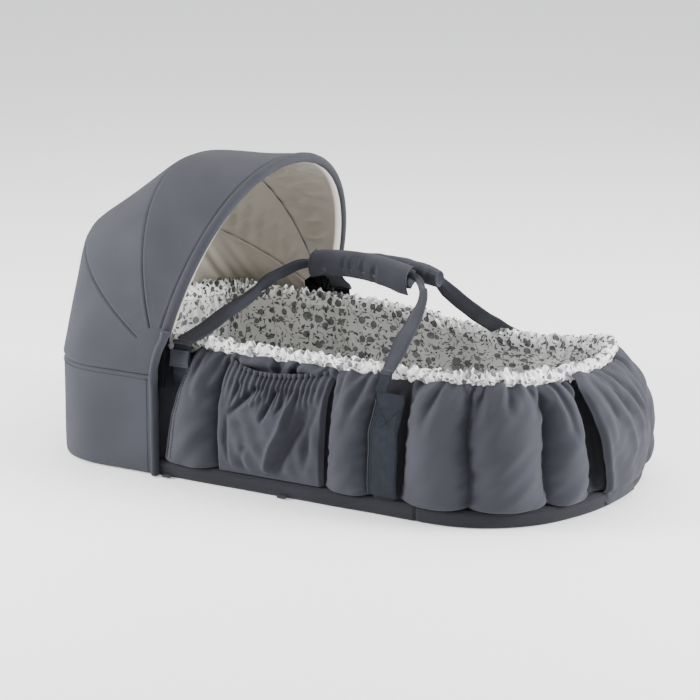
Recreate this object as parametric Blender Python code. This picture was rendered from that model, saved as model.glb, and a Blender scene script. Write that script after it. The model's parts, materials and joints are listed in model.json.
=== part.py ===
"""Baby nest: a soft carrycot with a stiff base, a stuffed wall, a folding hood and two carrying handles.

Metres, +Z up, +X towards the foot end, the pocket on the -Y side, the origin under the middle of the base.
"""
import math

import bmesh
import bpy
from mathutils import Vector

# Overall sizes
LENGTH = 0.760
BASE_HALF_WIDTH = 0.2045
GAP = 0.0003
FOOT_DEPTH = 0.1586
FOOT_SQUARENESS = 2.2
HEAD_DEPTH = 0.1226
HEAD_SQUARENESS = 2.6

# Base
TRAY_HEIGHT = 0.022
TRAY_WALL = 0.003
BOARD_THICKNESS = 0.005
BOARD_CLEARANCE = 0.001
MATTRESS_HEIGHT = 0.036
MATTRESS_CLEARANCE = 0.0065
MATTRESS_CROWN = 0.003
TAB_SIZE = (0.014, 0.006, 0.0025)
TAB_LIFT = 0.002
TAB_PLACES = (-0.158, 0.012)
TAB_TAPER = 0.003

# Wall
RIM_Z = 0.157
COVER_THICKNESS = 0.0020
LINING_THICKNESS = 0.0015
WALL_BULGE = 0.0090
WALL_PADDING = 0.050
RIM_DRAWN_IN = 0.038
RIM_PADDING = 0.0115
CHANNEL_DEPTH = 0.0110
LINING_QUILT_DEPTH = 0.0030
LINING_QUILT_PITCH = 0.098
STRAP_ZONE_LEVEL = 0.35
WADDING_CLEARANCE = 0.0010
WADDING_TOP_DROP = 0.009
ELASTIC_SIZE = (0.0055, 0.0020)
RUFFLE_HEIGHT = 0.0130
RUFFLE_THICKNESS = 0.0110
RUFFLE_WAVE = 0.0028
RUFFLE_FOLDS = 34
RUFFLE_STEPS = 4

# Stuffed channels, as places along the side and widths round the foot
HEAD_PAD_X = (-0.126, -0.080)
POCKET_X = (-0.080, 0.072)
MIDDLE_PAD_X = (0.072, 0.133)
FOOT_WEBBING_X = 0.153
FOOT_WEBBING_WIDTH = 0.038
SIDE_PAD_START_X = 0.173
FOOT_PANEL_HALF = 0.086
FOOT_PAD_WIDTHS = (0.064, 0.088)

# Foot panel and pocket
FOOT_COVER_THICKNESS = 0.0012
FOOT_COVER_LIFT = 0.0012
FOOT_COVER_TOP_HALF = 0.088
FOOT_COVER_BOTTOM_HALF = 0.060
FOOT_COVER_FOLD = 0.0022
POCKET_BOTTOM_Z = 0.031
POCKET_TOP_Z = 0.139
POCKET_BULGE = 0.0080
POCKET_FOLD = 0.0008
POCKET_ZONE_LEVEL = 0.05
POCKET_THICKNESS = 0.0016
POCKET_ELASTIC_RADIUS = 0.0018

# Head wrap and its rolled front edge
WRAP_EDGE_X = -0.1756
WRAP_THICKNESS = 0.003
WRAP_TOP = 0.130
WRAP_LIFT = 0.001
PIPING_RADIUS = 0.004
PIPING_STAND_OFF = 0.0043
PIPING_TOP_STAND_OFF = 0.0061
PIPING_BEND_DROP = 0.018
PIPING_TOP_REACH = 0.0225

# Hood: angles are measured up and back from +X about the pivot
PIVOT_X = -0.170
PIVOT_Z = 0.156
FRONT_BOW_ANGLE = 73.5
MIDDLE_BOW_ANGLE = 109.0
REAR_BOW_ANGLE = 148.0
FRONT_BOW_RADIUS = 0.2310
MIDDLE_BOW_RADIUS = 0.2280
REAR_BOW_RADIUS = 0.2400
BOW_SQUARENESS = 2.1
BOW_WIRE_RADIUS = 0.0019
HUB_RADIUS = 0.0085
HUB_THICKNESS = 0.0036
HUB_SPACING = 0.0042
RIVET_RADIUS = 0.0030
RIVET_HEAD_RADIUS = 0.0055
RIVET_HEAD_THICKNESS = 0.0016
BRACKET_THICKNESS = 0.0018
BRACKET_HALF_WIDTH = 0.0080
BRACKET_FOOT_DROP = 0.040
BRACKET_INSET = 0.0005
CLOTH_THICKNESS = 0.0018
CLOTH_EDGE = 0.0003
LINING_EDGE = 0.0008
HOOD_LINING_THICKNESS = 0.0012
HOOD_LINING_INSET = 0.0180
PANEL_START_RADIUS = 0.034
REAR_PANEL_STEP = 0.0030
REAR_LINING_EDGE_X = -0.200
BINDING_RADIUS = 0.0035
BINDING_RISE = 0.0046

# Carrying handles
HANDLE_AXIS_INSET = 0.0185
HANDLE_AXIS_Z = 0.172
HEAD_WEBBING_X = -0.140
HEAD_WEBBING_WIDTH = 0.025
WEBBING_THICKNESS = 0.0022
WEBBING_START_Z = 0.026
WEBBING_ROLL_RADIUS = 0.0035
STRAP_WIDTH = 0.025
FOLDED_STRAP_WIDTH = 0.015
NEAR_GRIP_X = (-0.058, 0.086)
NEAR_GRIP_Y = -0.0240
NEAR_GRIP_Z = 0.2555
NEAR_GRIP_RADII = (0.0160, 0.0155)
FAR_GRIP_X = (-0.034, 0.110)
FAR_GRIP_Z = 0.2520
FAR_GRIP_RADII = (0.0135, 0.0125)
GRIP_END_TAPER = 0.88
STRAP_SLOT_CLEARANCE = 0.0006
FLAP_THICKNESS = 0.0030
FLAP_ANGLES = (82.0, 236.0)
FLAP_LIFT = 0.0028
FLAP_MARGIN = 0.006
TAPE_THICKNESS = 0.0008
TAPE_ANGLES = (200.0, 230.0)
TAPE_MARGIN = 0.020
KEEPER_TAB_HEIGHT = 0.020
KEEPER_TAB_THICKNESS = 0.0016
KEEPER_TAB_Z = 0.112

# Colours and finish of the materials: colour, roughness, metallic
SLATE_CLOTH = ((0.115, 0.122, 0.145, 1.0), 0.85, 0.0)
DARK_CLOTH = ((0.070, 0.074, 0.090, 1.0), 0.85, 0.0)
WEBBING = ((0.105, 0.115, 0.145, 1.0), 0.70, 0.0)
PRINTED_COTTON = ((0.640, 0.640, 0.620, 1.0), 0.85, 0.0)
BEIGE_LINING = ((0.420, 0.395, 0.360, 1.0), 0.55, 0.0)
WADDING = ((0.850, 0.850, 0.850, 1.0), 0.95, 0.0)
FOAM = ((0.800, 0.780, 0.720, 1.0), 0.90, 0.0)
BOARD = ((0.300, 0.250, 0.190, 1.0), 0.80, 0.0)
ELASTIC = ((0.750, 0.750, 0.740, 1.0), 0.75, 0.0)
BOW_PLASTIC = ((0.050, 0.050, 0.055, 1.0), 0.45, 0.0)
RIVET_STEEL = ((0.600, 0.600, 0.620, 1.0), 0.30, 1.0)

# Places that follow from the sizes
HEAD_X = -(LENGTH / 2 - GAP - WRAP_THICKNESS)
FOOT_X = LENGTH / 2 - WALL_BULGE - FOOT_COVER_LIFT - FOOT_COVER_THICKNESS - FOOT_COVER_FOLD
COVER_BOTTOM = TRAY_HEIGHT + GAP
BOARD_BOTTOM = TRAY_WALL + GAP
LINING_BOTTOM = BOARD_BOTTOM + BOARD_THICKNESS + GAP
MATTRESS_BOTTOM = LINING_BOTTOM + LINING_THICKNESS + GAP
HANDLE_AXIS_Y = BASE_HALF_WIDTH - HANDLE_AXIS_INSET
BRACKET_OUTER_Y = BASE_HALF_WIDTH - BRACKET_INSET
REAR_HUB_Y = BRACKET_OUTER_Y - BRACKET_THICKNESS - GAP - HUB_THICKNESS / 2
CLOTH_HALF_WIDTH = BASE_HALF_WIDTH + 0.0011
REAR_PANEL_REACH = PANEL_START_RADIUS - REAR_PANEL_STEP
CLOTH_RISE = BOW_WIRE_RADIUS + 5 * GAP
FAR_GRIP_Y = NEAR_GRIP_Y + NEAR_GRIP_RADII[0] + GAP + FAR_GRIP_RADII[0]


def clear_scene():
    for item in list(bpy.data.objects):
        bpy.data.objects.remove(item, do_unlink=True)


def material(name, finish):
    colour, roughness, metallic = finish
    made = bpy.data.materials.new(name)
    made.use_nodes = True
    shader = made.node_tree.nodes["Principled BSDF"]
    shader.inputs["Base Color"].default_value = colour
    shader.inputs["Roughness"].default_value = roughness
    shader.inputs["Metallic"].default_value = metallic
    made.diffuse_color = colour
    return made


def add_object(name, mesh, finish):
    made = bpy.data.objects.new(name, mesh)
    bpy.context.collection.objects.link(made)
    made.data.materials.append(material(name + "_finish", finish))
    return made


def mesh_from(name, bm, close=True):
    if close:
        bmesh.ops.recalc_face_normals(bm, faces=bm.faces)
    mesh = bpy.data.meshes.new(name)
    bm.to_mesh(mesh)
    bm.free()
    mesh.shade_smooth()
    mesh.set_sharp_from_angle(angle=math.radians(40))
    return mesh


# Plan outline of the base
def outline_point(side, part, t):
    """Point and outward normal on one half of the outline; part is foot, straight or head."""
    if part == "foot":
        power = FOOT_SQUARENESS
        depth = FOOT_DEPTH
        across = math.sin(t) ** (2 / power)
        along = math.cos(t) ** (2 / power)
        x = FOOT_X - depth + depth * along
        sign = 1
    elif part == "head":
        power = HEAD_SQUARENESS
        depth = HEAD_DEPTH
        across = math.cos(t) ** (2 / power)
        along = math.sin(t) ** (2 / power)
        x = HEAD_X + depth - depth * along
        sign = -1
    else:
        x = FOOT_X - FOOT_DEPTH + t * (HEAD_X + HEAD_DEPTH - FOOT_X + FOOT_DEPTH)
        return Vector((x, side * BASE_HALF_WIDTH, 0)), Vector((0, side, 0))
    normal = Vector((sign * along ** (power - 1) / depth,
                     side * across ** (power - 1) / BASE_HALF_WIDTH, 0))
    return Vector((x, side * BASE_HALF_WIDTH * across, 0)), normal.normalized()


def half_outline_table():
    """Distance from the foot centre, point and normal, closely spaced along the near half."""
    rows = []
    for part in ("foot", "straight", "head"):
        for i in range(OUTLINE_STEPS + 1):
            t = i / OUTLINE_STEPS
            if part != "straight":
                t *= math.pi / 2
            point, normal = outline_point(-1, part, min(max(t, 1e-9), math.pi / 2 - 1e-9))
            distance = rows[-1][0] + (point - rows[-1][1]).length if rows else 0.0
            rows.append((distance, point, normal))
    return rows


OUTLINE_STEPS = 240
OUTLINE = half_outline_table()
HALF_GIRTH = OUTLINE[-1][0]


def on_outline(u):
    """Point and normal at distance u from the foot centre: positive on the near side, negative on the far."""
    side = -1 if u >= 0 else 1
    wanted = min(abs(u), HALF_GIRTH)
    low, high = 0, len(OUTLINE) - 1
    while high - low > 1:
        middle = (low + high) // 2
        if OUTLINE[middle][0] <= wanted:
            low = middle
        else:
            high = middle
    first, last = OUTLINE[low], OUTLINE[high]
    span = max(last[0] - first[0], 1e-12)
    share = (wanted - first[0]) / span
    point = first[1].lerp(last[1], share)
    normal = first[2].lerp(last[2], share).normalized()
    if side > 0:
        point = Vector((point.x, -point.y, 0))
        normal = Vector((normal.x, -normal.y, 0))
    return point, normal


def distance_at_x(x):
    """Distance from the foot centre to the place on the straight side with this x."""
    start = distance_of_straight()
    return start + (FOOT_X - FOOT_DEPTH - x)


def distance_of_straight():
    return OUTLINE[OUTLINE_STEPS][0]


def wall_point(u, offset, z):
    point, normal = on_outline(u)
    return Vector((point.x + normal.x * offset, point.y + normal.y * offset, z))


def between(start, end, parts):
    return [start + (end - start) * i / parts for i in range(parts + 1)]


# Channels of the wall: (start, end, kind) as distances from the foot centre
def channel_zones(side):
    foot_zones = [(0.0, FOOT_PANEL_HALF, "panel")]
    place = FOOT_PANEL_HALF
    for width in FOOT_PAD_WIDTHS:
        foot_zones.append((place, place + width, "pad"))
        place += width
    webbing_end = distance_at_x(FOOT_WEBBING_X - FOOT_WEBBING_WIDTH / 2 - 0.001)
    foot_zones += [
        (place, distance_at_x(SIDE_PAD_START_X), "pad"),
        (distance_at_x(SIDE_PAD_START_X), webbing_end, "strap"),
        (webbing_end, distance_at_x(MIDDLE_PAD_X[0]), "pad"),
    ]
    pocket = (distance_at_x(POCKET_X[1]), distance_at_x(POCKET_X[0]))
    if side > 0:
        middle = sum(pocket) / 2
        foot_zones += [(pocket[0], middle, "pocket"), (middle, pocket[1], "pocket")]
    else:
        middle = sum(pocket) / 2
        foot_zones += [(pocket[0], middle, "pad"), (middle, pocket[1], "pad")]
    head_pad_end = distance_at_x(HEAD_PAD_X[0])
    foot_zones += [
        (pocket[1], head_pad_end, "pad"),
        (head_pad_end, wrap_start(), "strap"),
    ]
    return foot_zones


def wrap_start():
    """Where the wall begins to draw in under the head wrap."""
    return distance_at_x(HEAD_WEBBING_X - HEAD_WEBBING_WIDTH / 2 - 0.002)


def wrap_full():
    return distance_at_x(WRAP_EDGE_X + 2 * PIPING_RADIUS + 0.0035)


def wrap_edge():
    return distance_at_x(WRAP_EDGE_X)


def fullness(u):
    """How full the wall is here: 0 on a seam, 1 in the middle of a channel."""
    place = abs(u)
    if place >= wrap_start():
        return STRAP_ZONE_LEVEL
    zones = channel_zones(1 if u >= 0 else -1)
    for start, end, kind in sorted(zones, key=lambda zone: zone[2] != "pocket"):
        if start - 1e-9 <= place <= end + 1e-9:
            share = (place - start) / (end - start)
            if kind == "panel":
                return 1.0 if share < 0.98 else 0.0
            if kind == "pocket":
                return POCKET_ZONE_LEVEL
            if min(share, 1 - share) < 0.001:
                return 0.0
            if kind == "strap":
                return STRAP_ZONE_LEVEL
            return math.sin(math.pi * share) ** 0.6
    return STRAP_ZONE_LEVEL


def curve_stations():
    """Distances that every closed outline uses on the rounded ends."""
    foot = between(0.0, distance_of_straight(), 12)
    head = between(distance_at_x(HEAD_X + HEAD_DEPTH), HALF_GIRTH, 9)
    return foot, head


def round_stations(extra=()):
    """Plain stations of a ring: both rounded ends, the wrap's edge and any extra places."""
    foot, head = curve_stations()
    near = sorted(set(foot + head + [wrap_edge(), wrap_full(), wrap_start()] + list(extra)))
    return ring_of(near)


def ring_of(near):
    kept = []
    for place in near:
        if not kept or place - kept[-1] > 0.0015:
            kept.append(place)
    kept[-1] = HALF_GIRTH
    return kept + [-place for place in reversed(kept[1:-1])]


def wall_stations():
    """Stations of the channelled wall: four to a channel, and the rounded head end."""
    places = []
    for start, end, kind in channel_zones(1):
        places += between(start, end, 4)
    head = curve_stations()[1]
    return ring_of(sorted(places + head + [wrap_full(), wrap_edge()]))


# Wall profile: height as a share from cover bottom to rim, how far it stands out, and channel depth there
def wall_profile():
    height = RIM_Z - COVER_BOTTOM
    return [
        (COVER_BOTTOM, 0.0, 0.0, 0.0),
        (COVER_BOTTOM + 0.14 * height, 0.85 * WALL_BULGE, -0.0005, 0.7),
        (COVER_BOTTOM + 0.36 * height, WALL_BULGE, -0.0015, 1.0),
        (COVER_BOTTOM + 0.62 * height, 0.60 * WALL_BULGE, -0.0070, 1.0),
        (COVER_BOTTOM + 0.84 * height, -0.28 * RIM_DRAWN_IN, -0.47 * RIM_DRAWN_IN, 0.8),
        (RIM_Z, -RIM_DRAWN_IN, -RIM_DRAWN_IN, 0.3),
    ]


def cover_offset(u, level):
    """Outer face of the cover at one height of the profile."""
    z, shown, wrapped, depth = wall_profile()[level]
    place = abs(u)
    if place <= wrap_start():
        share = 0.0
    else:
        share = min(1.0, (place - wrap_start()) / (wrap_full() - wrap_start()))
    free = shown - CHANNEL_DEPTH * depth * (1 - fullness(u))
    return free * (1 - share) + wrapped * share


def lining_profile():
    """Height, outer face offset and quilt depth of the lining."""
    height = RIM_Z - LINING_BOTTOM
    rim = -RIM_DRAWN_IN - RIM_PADDING
    return [
        (LINING_BOTTOM, -0.72 * WALL_PADDING, 0.0),
        (LINING_BOTTOM + 0.25 * height, -0.82 * WALL_PADDING, 0.8),
        (LINING_BOTTOM + 0.60 * height, -0.86 * WALL_PADDING, 1.0),
        (LINING_BOTTOM + 0.85 * height, -0.91 * WALL_PADDING, 0.8),
        (RIM_Z, rim, 0.0),
    ]


def lining_stations():
    """Quilted places along the lining, two to a quilt line, with the rounded ends."""
    foot, head = curve_stations()
    side_length = FOOT_X - FOOT_DEPTH - HEAD_X - HEAD_DEPTH
    straight = between(distance_of_straight(), distance_at_x(HEAD_X + HEAD_DEPTH),
                       4 * round(side_length / LINING_QUILT_PITCH))
    return ring_of(sorted(set(foot + straight + head)))


def quilt(u):
    share = (abs(u) / LINING_QUILT_PITCH) % 1.0
    return math.sin(math.pi * share) ** 0.7


# Solid builders
def loft(name, rings, finish, caps=True):
    """Closed body through rings of points; without caps the last ring joins the first."""
    bm = bmesh.new()
    loops = [[bm.verts.new(point) for point in ring] for ring in rings]
    count = len(loops[0])
    pairs = list(zip(loops, loops[1:]))
    if not caps:
        pairs.append((loops[-1], loops[0]))
    for lower, upper in pairs:
        for i in range(count):
            j = (i + 1) % count
            bm.faces.new((lower[i], lower[j], upper[j], upper[i]))
    if caps:
        bm.faces.new(list(reversed(loops[0])))
        bm.faces.new(loops[-1])
    return add_object(name, mesh_from(name, bm), finish)


def sheet(name, columns, thickness, finish, closed=False, floor=False, outward=True):
    """Cloth of even thickness: columns of points, thickened to one side by Solidify.

    Columns run round the piece with the near side first, and their points run upwards.
    """
    bm = bmesh.new()
    grid = [[bm.verts.new(point) for point in column] for column in columns]
    count = len(grid)
    last = count if closed else count - 1
    for i in range(last):
        j = (i + 1) % count
        for k in range(len(grid[0]) - 1):
            bm.faces.new((grid[j][k], grid[i][k], grid[i][k + 1], grid[j][k + 1]))
    if floor:
        bm.faces.new([column[0] for column in grid])
    made = add_object(name, mesh_from(name, bm, close=False), finish)
    solid = made.modifiers.new("thickness", "SOLIDIFY")
    solid.thickness = thickness
    solid.offset = 1.0 if outward else -1.0
    solid.use_even_offset = False
    return made


def tube(name, points, radius, finish, closed=False, resolution=1):
    """Round cord or wire along a path."""
    data = bpy.data.curves.new(name, "CURVE")
    data.dimensions = "3D"
    data.bevel_depth = radius
    data.bevel_resolution = resolution
    data.use_fill_caps = not closed
    spline = data.splines.new("POLY")
    spline.points.add(len(points) - 1)
    for place, point in zip(spline.points, points):
        place.co = (point.x, point.y, point.z, 1.0)
    spline.use_cyclic_u = closed
    made = bpy.data.objects.new(name, data)
    bpy.context.collection.objects.link(made)
    data.materials.append(material(name + "_finish", finish))
    return made


def guide(name, mesh):
    """A cutter or a piece to be joined, which is not itself part of the object."""
    made = bpy.data.objects.new(name, mesh)
    bpy.context.collection.objects.link(made)
    made.hide_render = True
    made.display_type = "WIRE"
    return made


def boolean(target, other, operation):
    cut = target.modifiers.new(other.name, "BOOLEAN")
    cut.operation = operation
    cut.solver = "EXACT"
    cut.object = other
    return cut


def circle(centre, radius, first, second, count):
    ring = []
    for i in range(count):
        turn = 2 * math.pi * i / count
        ring.append(centre + first * (radius * math.cos(turn)) + second * (radius * math.sin(turn)))
    return ring


def round_mesh(name, centre, stations, count):
    """Turned body about an axis along Y: stations are (y, radius)."""
    bm = bmesh.new()
    loops = []
    for y, radius in stations:
        ring = circle(Vector((centre.x, y, centre.z)), radius, Vector((1, 0, 0)), Vector((0, 0, 1)), count)
        loops.append([bm.verts.new(point) for point in ring])
    for lower, upper in zip(loops, loops[1:]):
        for i in range(count):
            j = (i + 1) % count
            bm.faces.new((lower[i], lower[j], upper[j], upper[i]))
    bm.faces.new(list(reversed(loops[0])))
    bm.faces.new(loops[-1])
    return mesh_from(name, bm)


# Base
def make_base():
    ring = round_stations()

    def level(offset, z):
        return [wall_point(u, offset, z) for u in ring]

    loft("bottom_cover", [
        level(0.0, 0.0),
        level(0.0, TRAY_HEIGHT),
        level(-TRAY_WALL, TRAY_HEIGHT),
        level(-TRAY_WALL, TRAY_WALL),
    ], DARK_CLOTH)
    board_edge = -TRAY_WALL - BOARD_CLEARANCE
    loft("base_board", [
        level(board_edge, BOARD_BOTTOM),
        level(board_edge, BOARD_BOTTOM + BOARD_THICKNESS),
    ], BOARD)
    side = -0.82 * WALL_PADDING - MATTRESS_CLEARANCE
    top = MATTRESS_BOTTOM + MATTRESS_HEIGHT
    loft("mattress", [
        level(side - 0.006, MATTRESS_BOTTOM),
        level(side, MATTRESS_BOTTOM + 0.22 * MATTRESS_HEIGHT),
        level(side, MATTRESS_BOTTOM + 0.70 * MATTRESS_HEIGHT),
        level(side - 0.010, top - 0.002),
        level(side - 0.040, top + 0.7 * MATTRESS_CROWN),
        level(side - 0.075, top + MATTRESS_CROWN),
    ], FOAM)


def make_base_tabs():
    """Short pull tabs that stick out under the edge of the tray."""
    length, reach, thickness = TAB_SIZE
    number = 0
    for side in (-1, 1):
        for place in TAB_PLACES:
            number += 1
            inner = side * (BASE_HALF_WIDTH + GAP)
            outer = side * (BASE_HALF_WIDTH + GAP + reach)
            rings = []
            for z in (TAB_LIFT, TAB_LIFT + thickness):
                rings.append([Vector((place + dx, y, z)) for dx, y in (
                    (-length / 2, inner), (length / 2, inner),
                    (length / 2 - TAB_TAPER, outer), (-length / 2 + TAB_TAPER, outer))])
            loft("base_tab_%d" % number, rings, DARK_CLOTH)


# Wall
def make_wall():
    ring = wall_stations()
    levels = range(len(wall_profile()))
    columns = [[wall_point(u, cover_offset(u, k), wall_profile()[k][0]) for k in levels] for u in ring]
    sheet("outer_cover", columns, COVER_THICKNESS, SLATE_CLOTH, closed=True, outward=False)

    ring = lining_stations()
    columns = []
    for u in ring:
        column = []
        for z, offset, depth in lining_profile():
            column.append(wall_point(u, offset - LINING_QUILT_DEPTH * depth * quilt(u), z))
        columns.append(column)
    sheet("inner_lining", columns, LINING_THICKNESS, PRINTED_COTTON, closed=True, floor=True, outward=False)


def plain_cover_offset(u, level):
    """Deepest inner face of the cover near this place, seams included."""
    z, shown, wrapped, depth = wall_profile()[level]
    share = 0.0 if abs(u) < wrap_start() - 0.012 else 1.0
    free = shown - CHANNEL_DEPTH * depth
    return min(free, wrapped) if share else free


def make_wadding():
    """Filling ring between the cover and the lining, on the board."""
    ring = round_stations(extra=(wrap_start() - 0.012, wrap_start() - 0.014))
    slack = COVER_THICKNESS + WADDING_CLEARANCE
    top = RIM_Z - WADDING_TOP_DROP
    profile = wall_profile()
    lining = lining_profile()
    inside_tray = -TRAY_WALL - BOARD_CLEARANCE
    inner_slack = WADDING_CLEARANCE
    near_rim = (top - profile[4][0]) / (RIM_Z - profile[4][0])
    rings = [[wall_point(u, inside_tray, LINING_BOTTOM) for u in ring]]
    rings.append([wall_point(u, inside_tray, COVER_BOTTOM + GAP) for u in ring])
    for level in (1, 2, 3, 4):
        rings.append([wall_point(u, plain_cover_offset(u, level) - slack, profile[level][0]) for u in ring])
    rings.append([wall_point(u, plain_cover_offset(u, 4) * (1 - near_rim)
                             + plain_cover_offset(u, 5) * near_rim - 2 * slack, top) for u in ring])
    rim_inner = lining[3][1] + (lining[4][1] - lining[3][1]) * (top - lining[3][0]) / (RIM_Z - lining[3][0])
    rings.append([wall_point(u, rim_inner + inner_slack, top) for u in ring])
    for level in (3, 2, 1, 0):
        z, offset, depth = lining[level]
        rings.append([wall_point(u, offset + inner_slack, z) for u in ring])
    loft("wall_wadding", rings, WADDING, caps=False)


def make_rim():
    """Elastic inside the hem, and the gathered frill that stands on it."""
    width, thickness = ELASTIC_SIZE
    ring = round_stations()
    middle = -RIM_DRAWN_IN - 0.30 * RIM_PADDING
    low = RIM_Z - WADDING_TOP_DROP + GAP
    loft("rim_elastic", [
        [wall_point(u, middle + width / 2, low) for u in ring],
        [wall_point(u, middle + width / 2, low + thickness) for u in ring],
        [wall_point(u, middle - width / 2, low + thickness) for u in ring],
        [wall_point(u, middle - width / 2, low) for u in ring],
    ], ELASTIC, caps=False)

    count = RUFFLE_FOLDS * RUFFLE_STEPS
    places = [-HALF_GIRTH + 2 * HALF_GIRTH * i / count for i in range(count)]
    centre = -RIM_DRAWN_IN - (RIM_PADDING + LINING_THICKNESS) / 2
    bottom = RIM_Z + GAP
    half = RUFFLE_THICKNESS / 2
    section = [(half, 0.0, 0.3), (0.95 * half, 0.5, 1.0), (0.30 * half, 1.0, 1.3),
               (-0.30 * half, 1.0, 1.3), (-0.95 * half, 0.5, 1.0), (-half, 0.0, 0.3)]
    rings = []
    for across, rise, swing in section:
        ring = []
        for i, u in enumerate(places):
            wave = RUFFLE_WAVE * math.sin(2 * math.pi * i / RUFFLE_STEPS + 0.6)
            slow = 0.15 * math.sin(2 * math.pi * i * 5 / count)
            height = RUFFLE_HEIGHT * rise * (1 + slow - 0.15)
            ring.append(wall_point(u, centre + across + wave * swing, bottom + height))
        rings.append(ring)
    loft("rim_ruffle", rings, PRINTED_COTTON, caps=False)


def make_foot_cover():
    """Loose cloth panel over the foot end, wider at the rim, with shallow folds."""
    levels = range(len(wall_profile()))
    half = sorted(place for place in wall_stations() if 0 <= place <= FOOT_PANEL_HALF - 0.001)
    across = [-place for place in reversed(half[1:])] + half
    widest = max(across)
    middle = (len(across) - 1) / 2
    columns = []
    for i, u in enumerate(across):
        column = []
        for k in levels:
            z = wall_profile()[k][0]
            share = (z - COVER_BOTTOM) / (RIM_Z - COVER_BOTTOM)
            width = FOOT_COVER_BOTTOM_HALF + (FOOT_COVER_TOP_HALF - FOOT_COVER_BOTTOM_HALF) * share
            place = u * min(width, FOOT_PANEL_HALF - 0.002) / widest
            wave = math.cos(1.9 * (i - middle) + 1.2 * (k - 2))
            fold = FOOT_COVER_FOLD * (0.5 + 0.5 * wave) if 0 < k < 5 else 0.0
            height = z + GAP if k == 0 else z
            column.append(wall_point(place, wall_profile()[k][1] + FOOT_COVER_LIFT + fold, height))
        columns.append(column)
    sheet("foot_cover", columns, FOOT_COVER_THICKNESS, SLATE_CLOTH)


def pocket_column(share_across, rows):
    """Inner face of the pocket's cloth at one place across it."""
    start = distance_at_x(POCKET_X[1]) + 0.004
    end = distance_at_x(POCKET_X[0]) - 0.004
    u = start + (end - start) * share_across
    belly = math.sin(math.pi * share_across) ** 0.45 if 0 < share_across < 1 else 0.0
    column = []
    for row in rows:
        z = POCKET_BOTTOM_Z + (POCKET_TOP_Z - POCKET_BOTTOM_Z) * row
        rise = min(1.0, 2.2 * row)
        flat = plain_level(z, POCKET_ZONE_LEVEL)
        fold = POCKET_FOLD * math.sin(17 * share_across + 3 * row) * belly
        column.append(wall_point(u, flat + GAP + (POCKET_BULGE * belly + fold) * rise, z))
    return column


def plain_level(z, level=STRAP_ZONE_LEVEL):
    """Cover's outer face in the plain zones behind a strap or the pocket."""
    profile = wall_profile()
    for k in range(len(profile) - 1):
        if profile[k][0] - 1e-9 <= z <= profile[k + 1][0] + 1e-9:
            share = (z - profile[k][0]) / (profile[k + 1][0] - profile[k][0])
            ends = []
            for z_at, shown, wrapped, depth in (profile[k], profile[k + 1]):
                ends.append(shown - CHANNEL_DEPTH * depth * (1 - level))
            return ends[0] * (1 - share) + ends[1] * share
    return -RIM_DRAWN_IN


def make_pocket():
    profile = wall_profile()
    span = POCKET_TOP_Z - POCKET_BOTTOM_Z
    rows = [0.0] + [(level[0] - POCKET_BOTTOM_Z) / span for level in profile
                    if POCKET_BOTTOM_Z + 0.002 < level[0] < POCKET_TOP_Z - 0.002] + [1.0]
    rows = sorted(rows + [0.42 * rows[1] + 0.58 * rows[2]])
    columns = [pocket_column(i / 14, rows) for i in range(15)]
    sheet("side_pocket", columns, POCKET_THICKNESS, SLATE_CLOTH)
    rise = POCKET_ELASTIC_RADIUS + GAP
    path = []
    for i in range(15):
        share = 0.03 + 0.94 * i / 14
        point = pocket_column(share, [1.0])[0]
        path.append(Vector((point.x, point.y - POCKET_THICKNESS / 2, point.z + rise + 0.0008)))
    tube("pocket_elastic", path, POCKET_ELASTIC_RADIUS, SLATE_CLOTH)


# Head wrap and piping
def head_stations():
    ring = round_stations()
    edge = wrap_edge() - 1e-6
    near = sorted(place for place in ring if place >= edge)
    far = sorted(place for place in ring if place <= -edge)
    return near + far


def make_wrap():
    columns = []
    for u in head_stations():
        columns.append([wall_point(u, GAP, z) for z in (WRAP_LIFT, WRAP_TOP / 2, WRAP_TOP)])
    sheet("head_end_wrap", columns, WRAP_THICKNESS, SLATE_CLOTH)


def side_name(side):
    return "near" if side < 0 else "far"


def make_wrap_piping():
    x = WRAP_EDGE_X + PIPING_RADIUS + GAP
    lean = math.radians(FRONT_BOW_ANGLE)
    top = Vector((PIVOT_X + PIPING_TOP_REACH * math.cos(lean) + 0.0045, 0, PIVOT_Z + PIPING_TOP_REACH * math.sin(lean)))
    for side in (-1, 1):
        y = side * (BASE_HALF_WIDTH + PIPING_STAND_OFF)
        high = side * (BASE_HALF_WIDTH + PIPING_TOP_STAND_OFF)
        path = [Vector((x, y, WRAP_LIFT)), Vector((x, y, WRAP_TOP / 2)), Vector((x, y, WRAP_TOP - PIPING_BEND_DROP)),
                Vector((x, high, WRAP_TOP)), Vector((x + 0.002, high, PIVOT_Z - 0.008)),
                Vector((top.x, high, top.z))]
        tube(side_name(side) + "_wrap_piping", path, PIPING_RADIUS, SLATE_CLOTH)


# Hood
def bow_point(angle, radius, half_width, turn):
    """Point on a bow: turn 0 is the near pivot, 90 the top and 180 the far pivot."""
    t = math.radians(turn)
    power = 2 / BOW_SQUARENESS
    reach = radius * math.sin(t) ** power
    side = -1 if turn <= 90 else 1
    y = side * half_width * abs(math.cos(t)) ** power
    lean = math.radians(angle)
    return Vector((PIVOT_X + reach * math.cos(lean), y, PIVOT_Z + reach * math.sin(lean)))


def turn_at_reach(radius, reach):
    return math.degrees(math.asin((reach / radius) ** (BOW_SQUARENESS / 2)))


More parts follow.
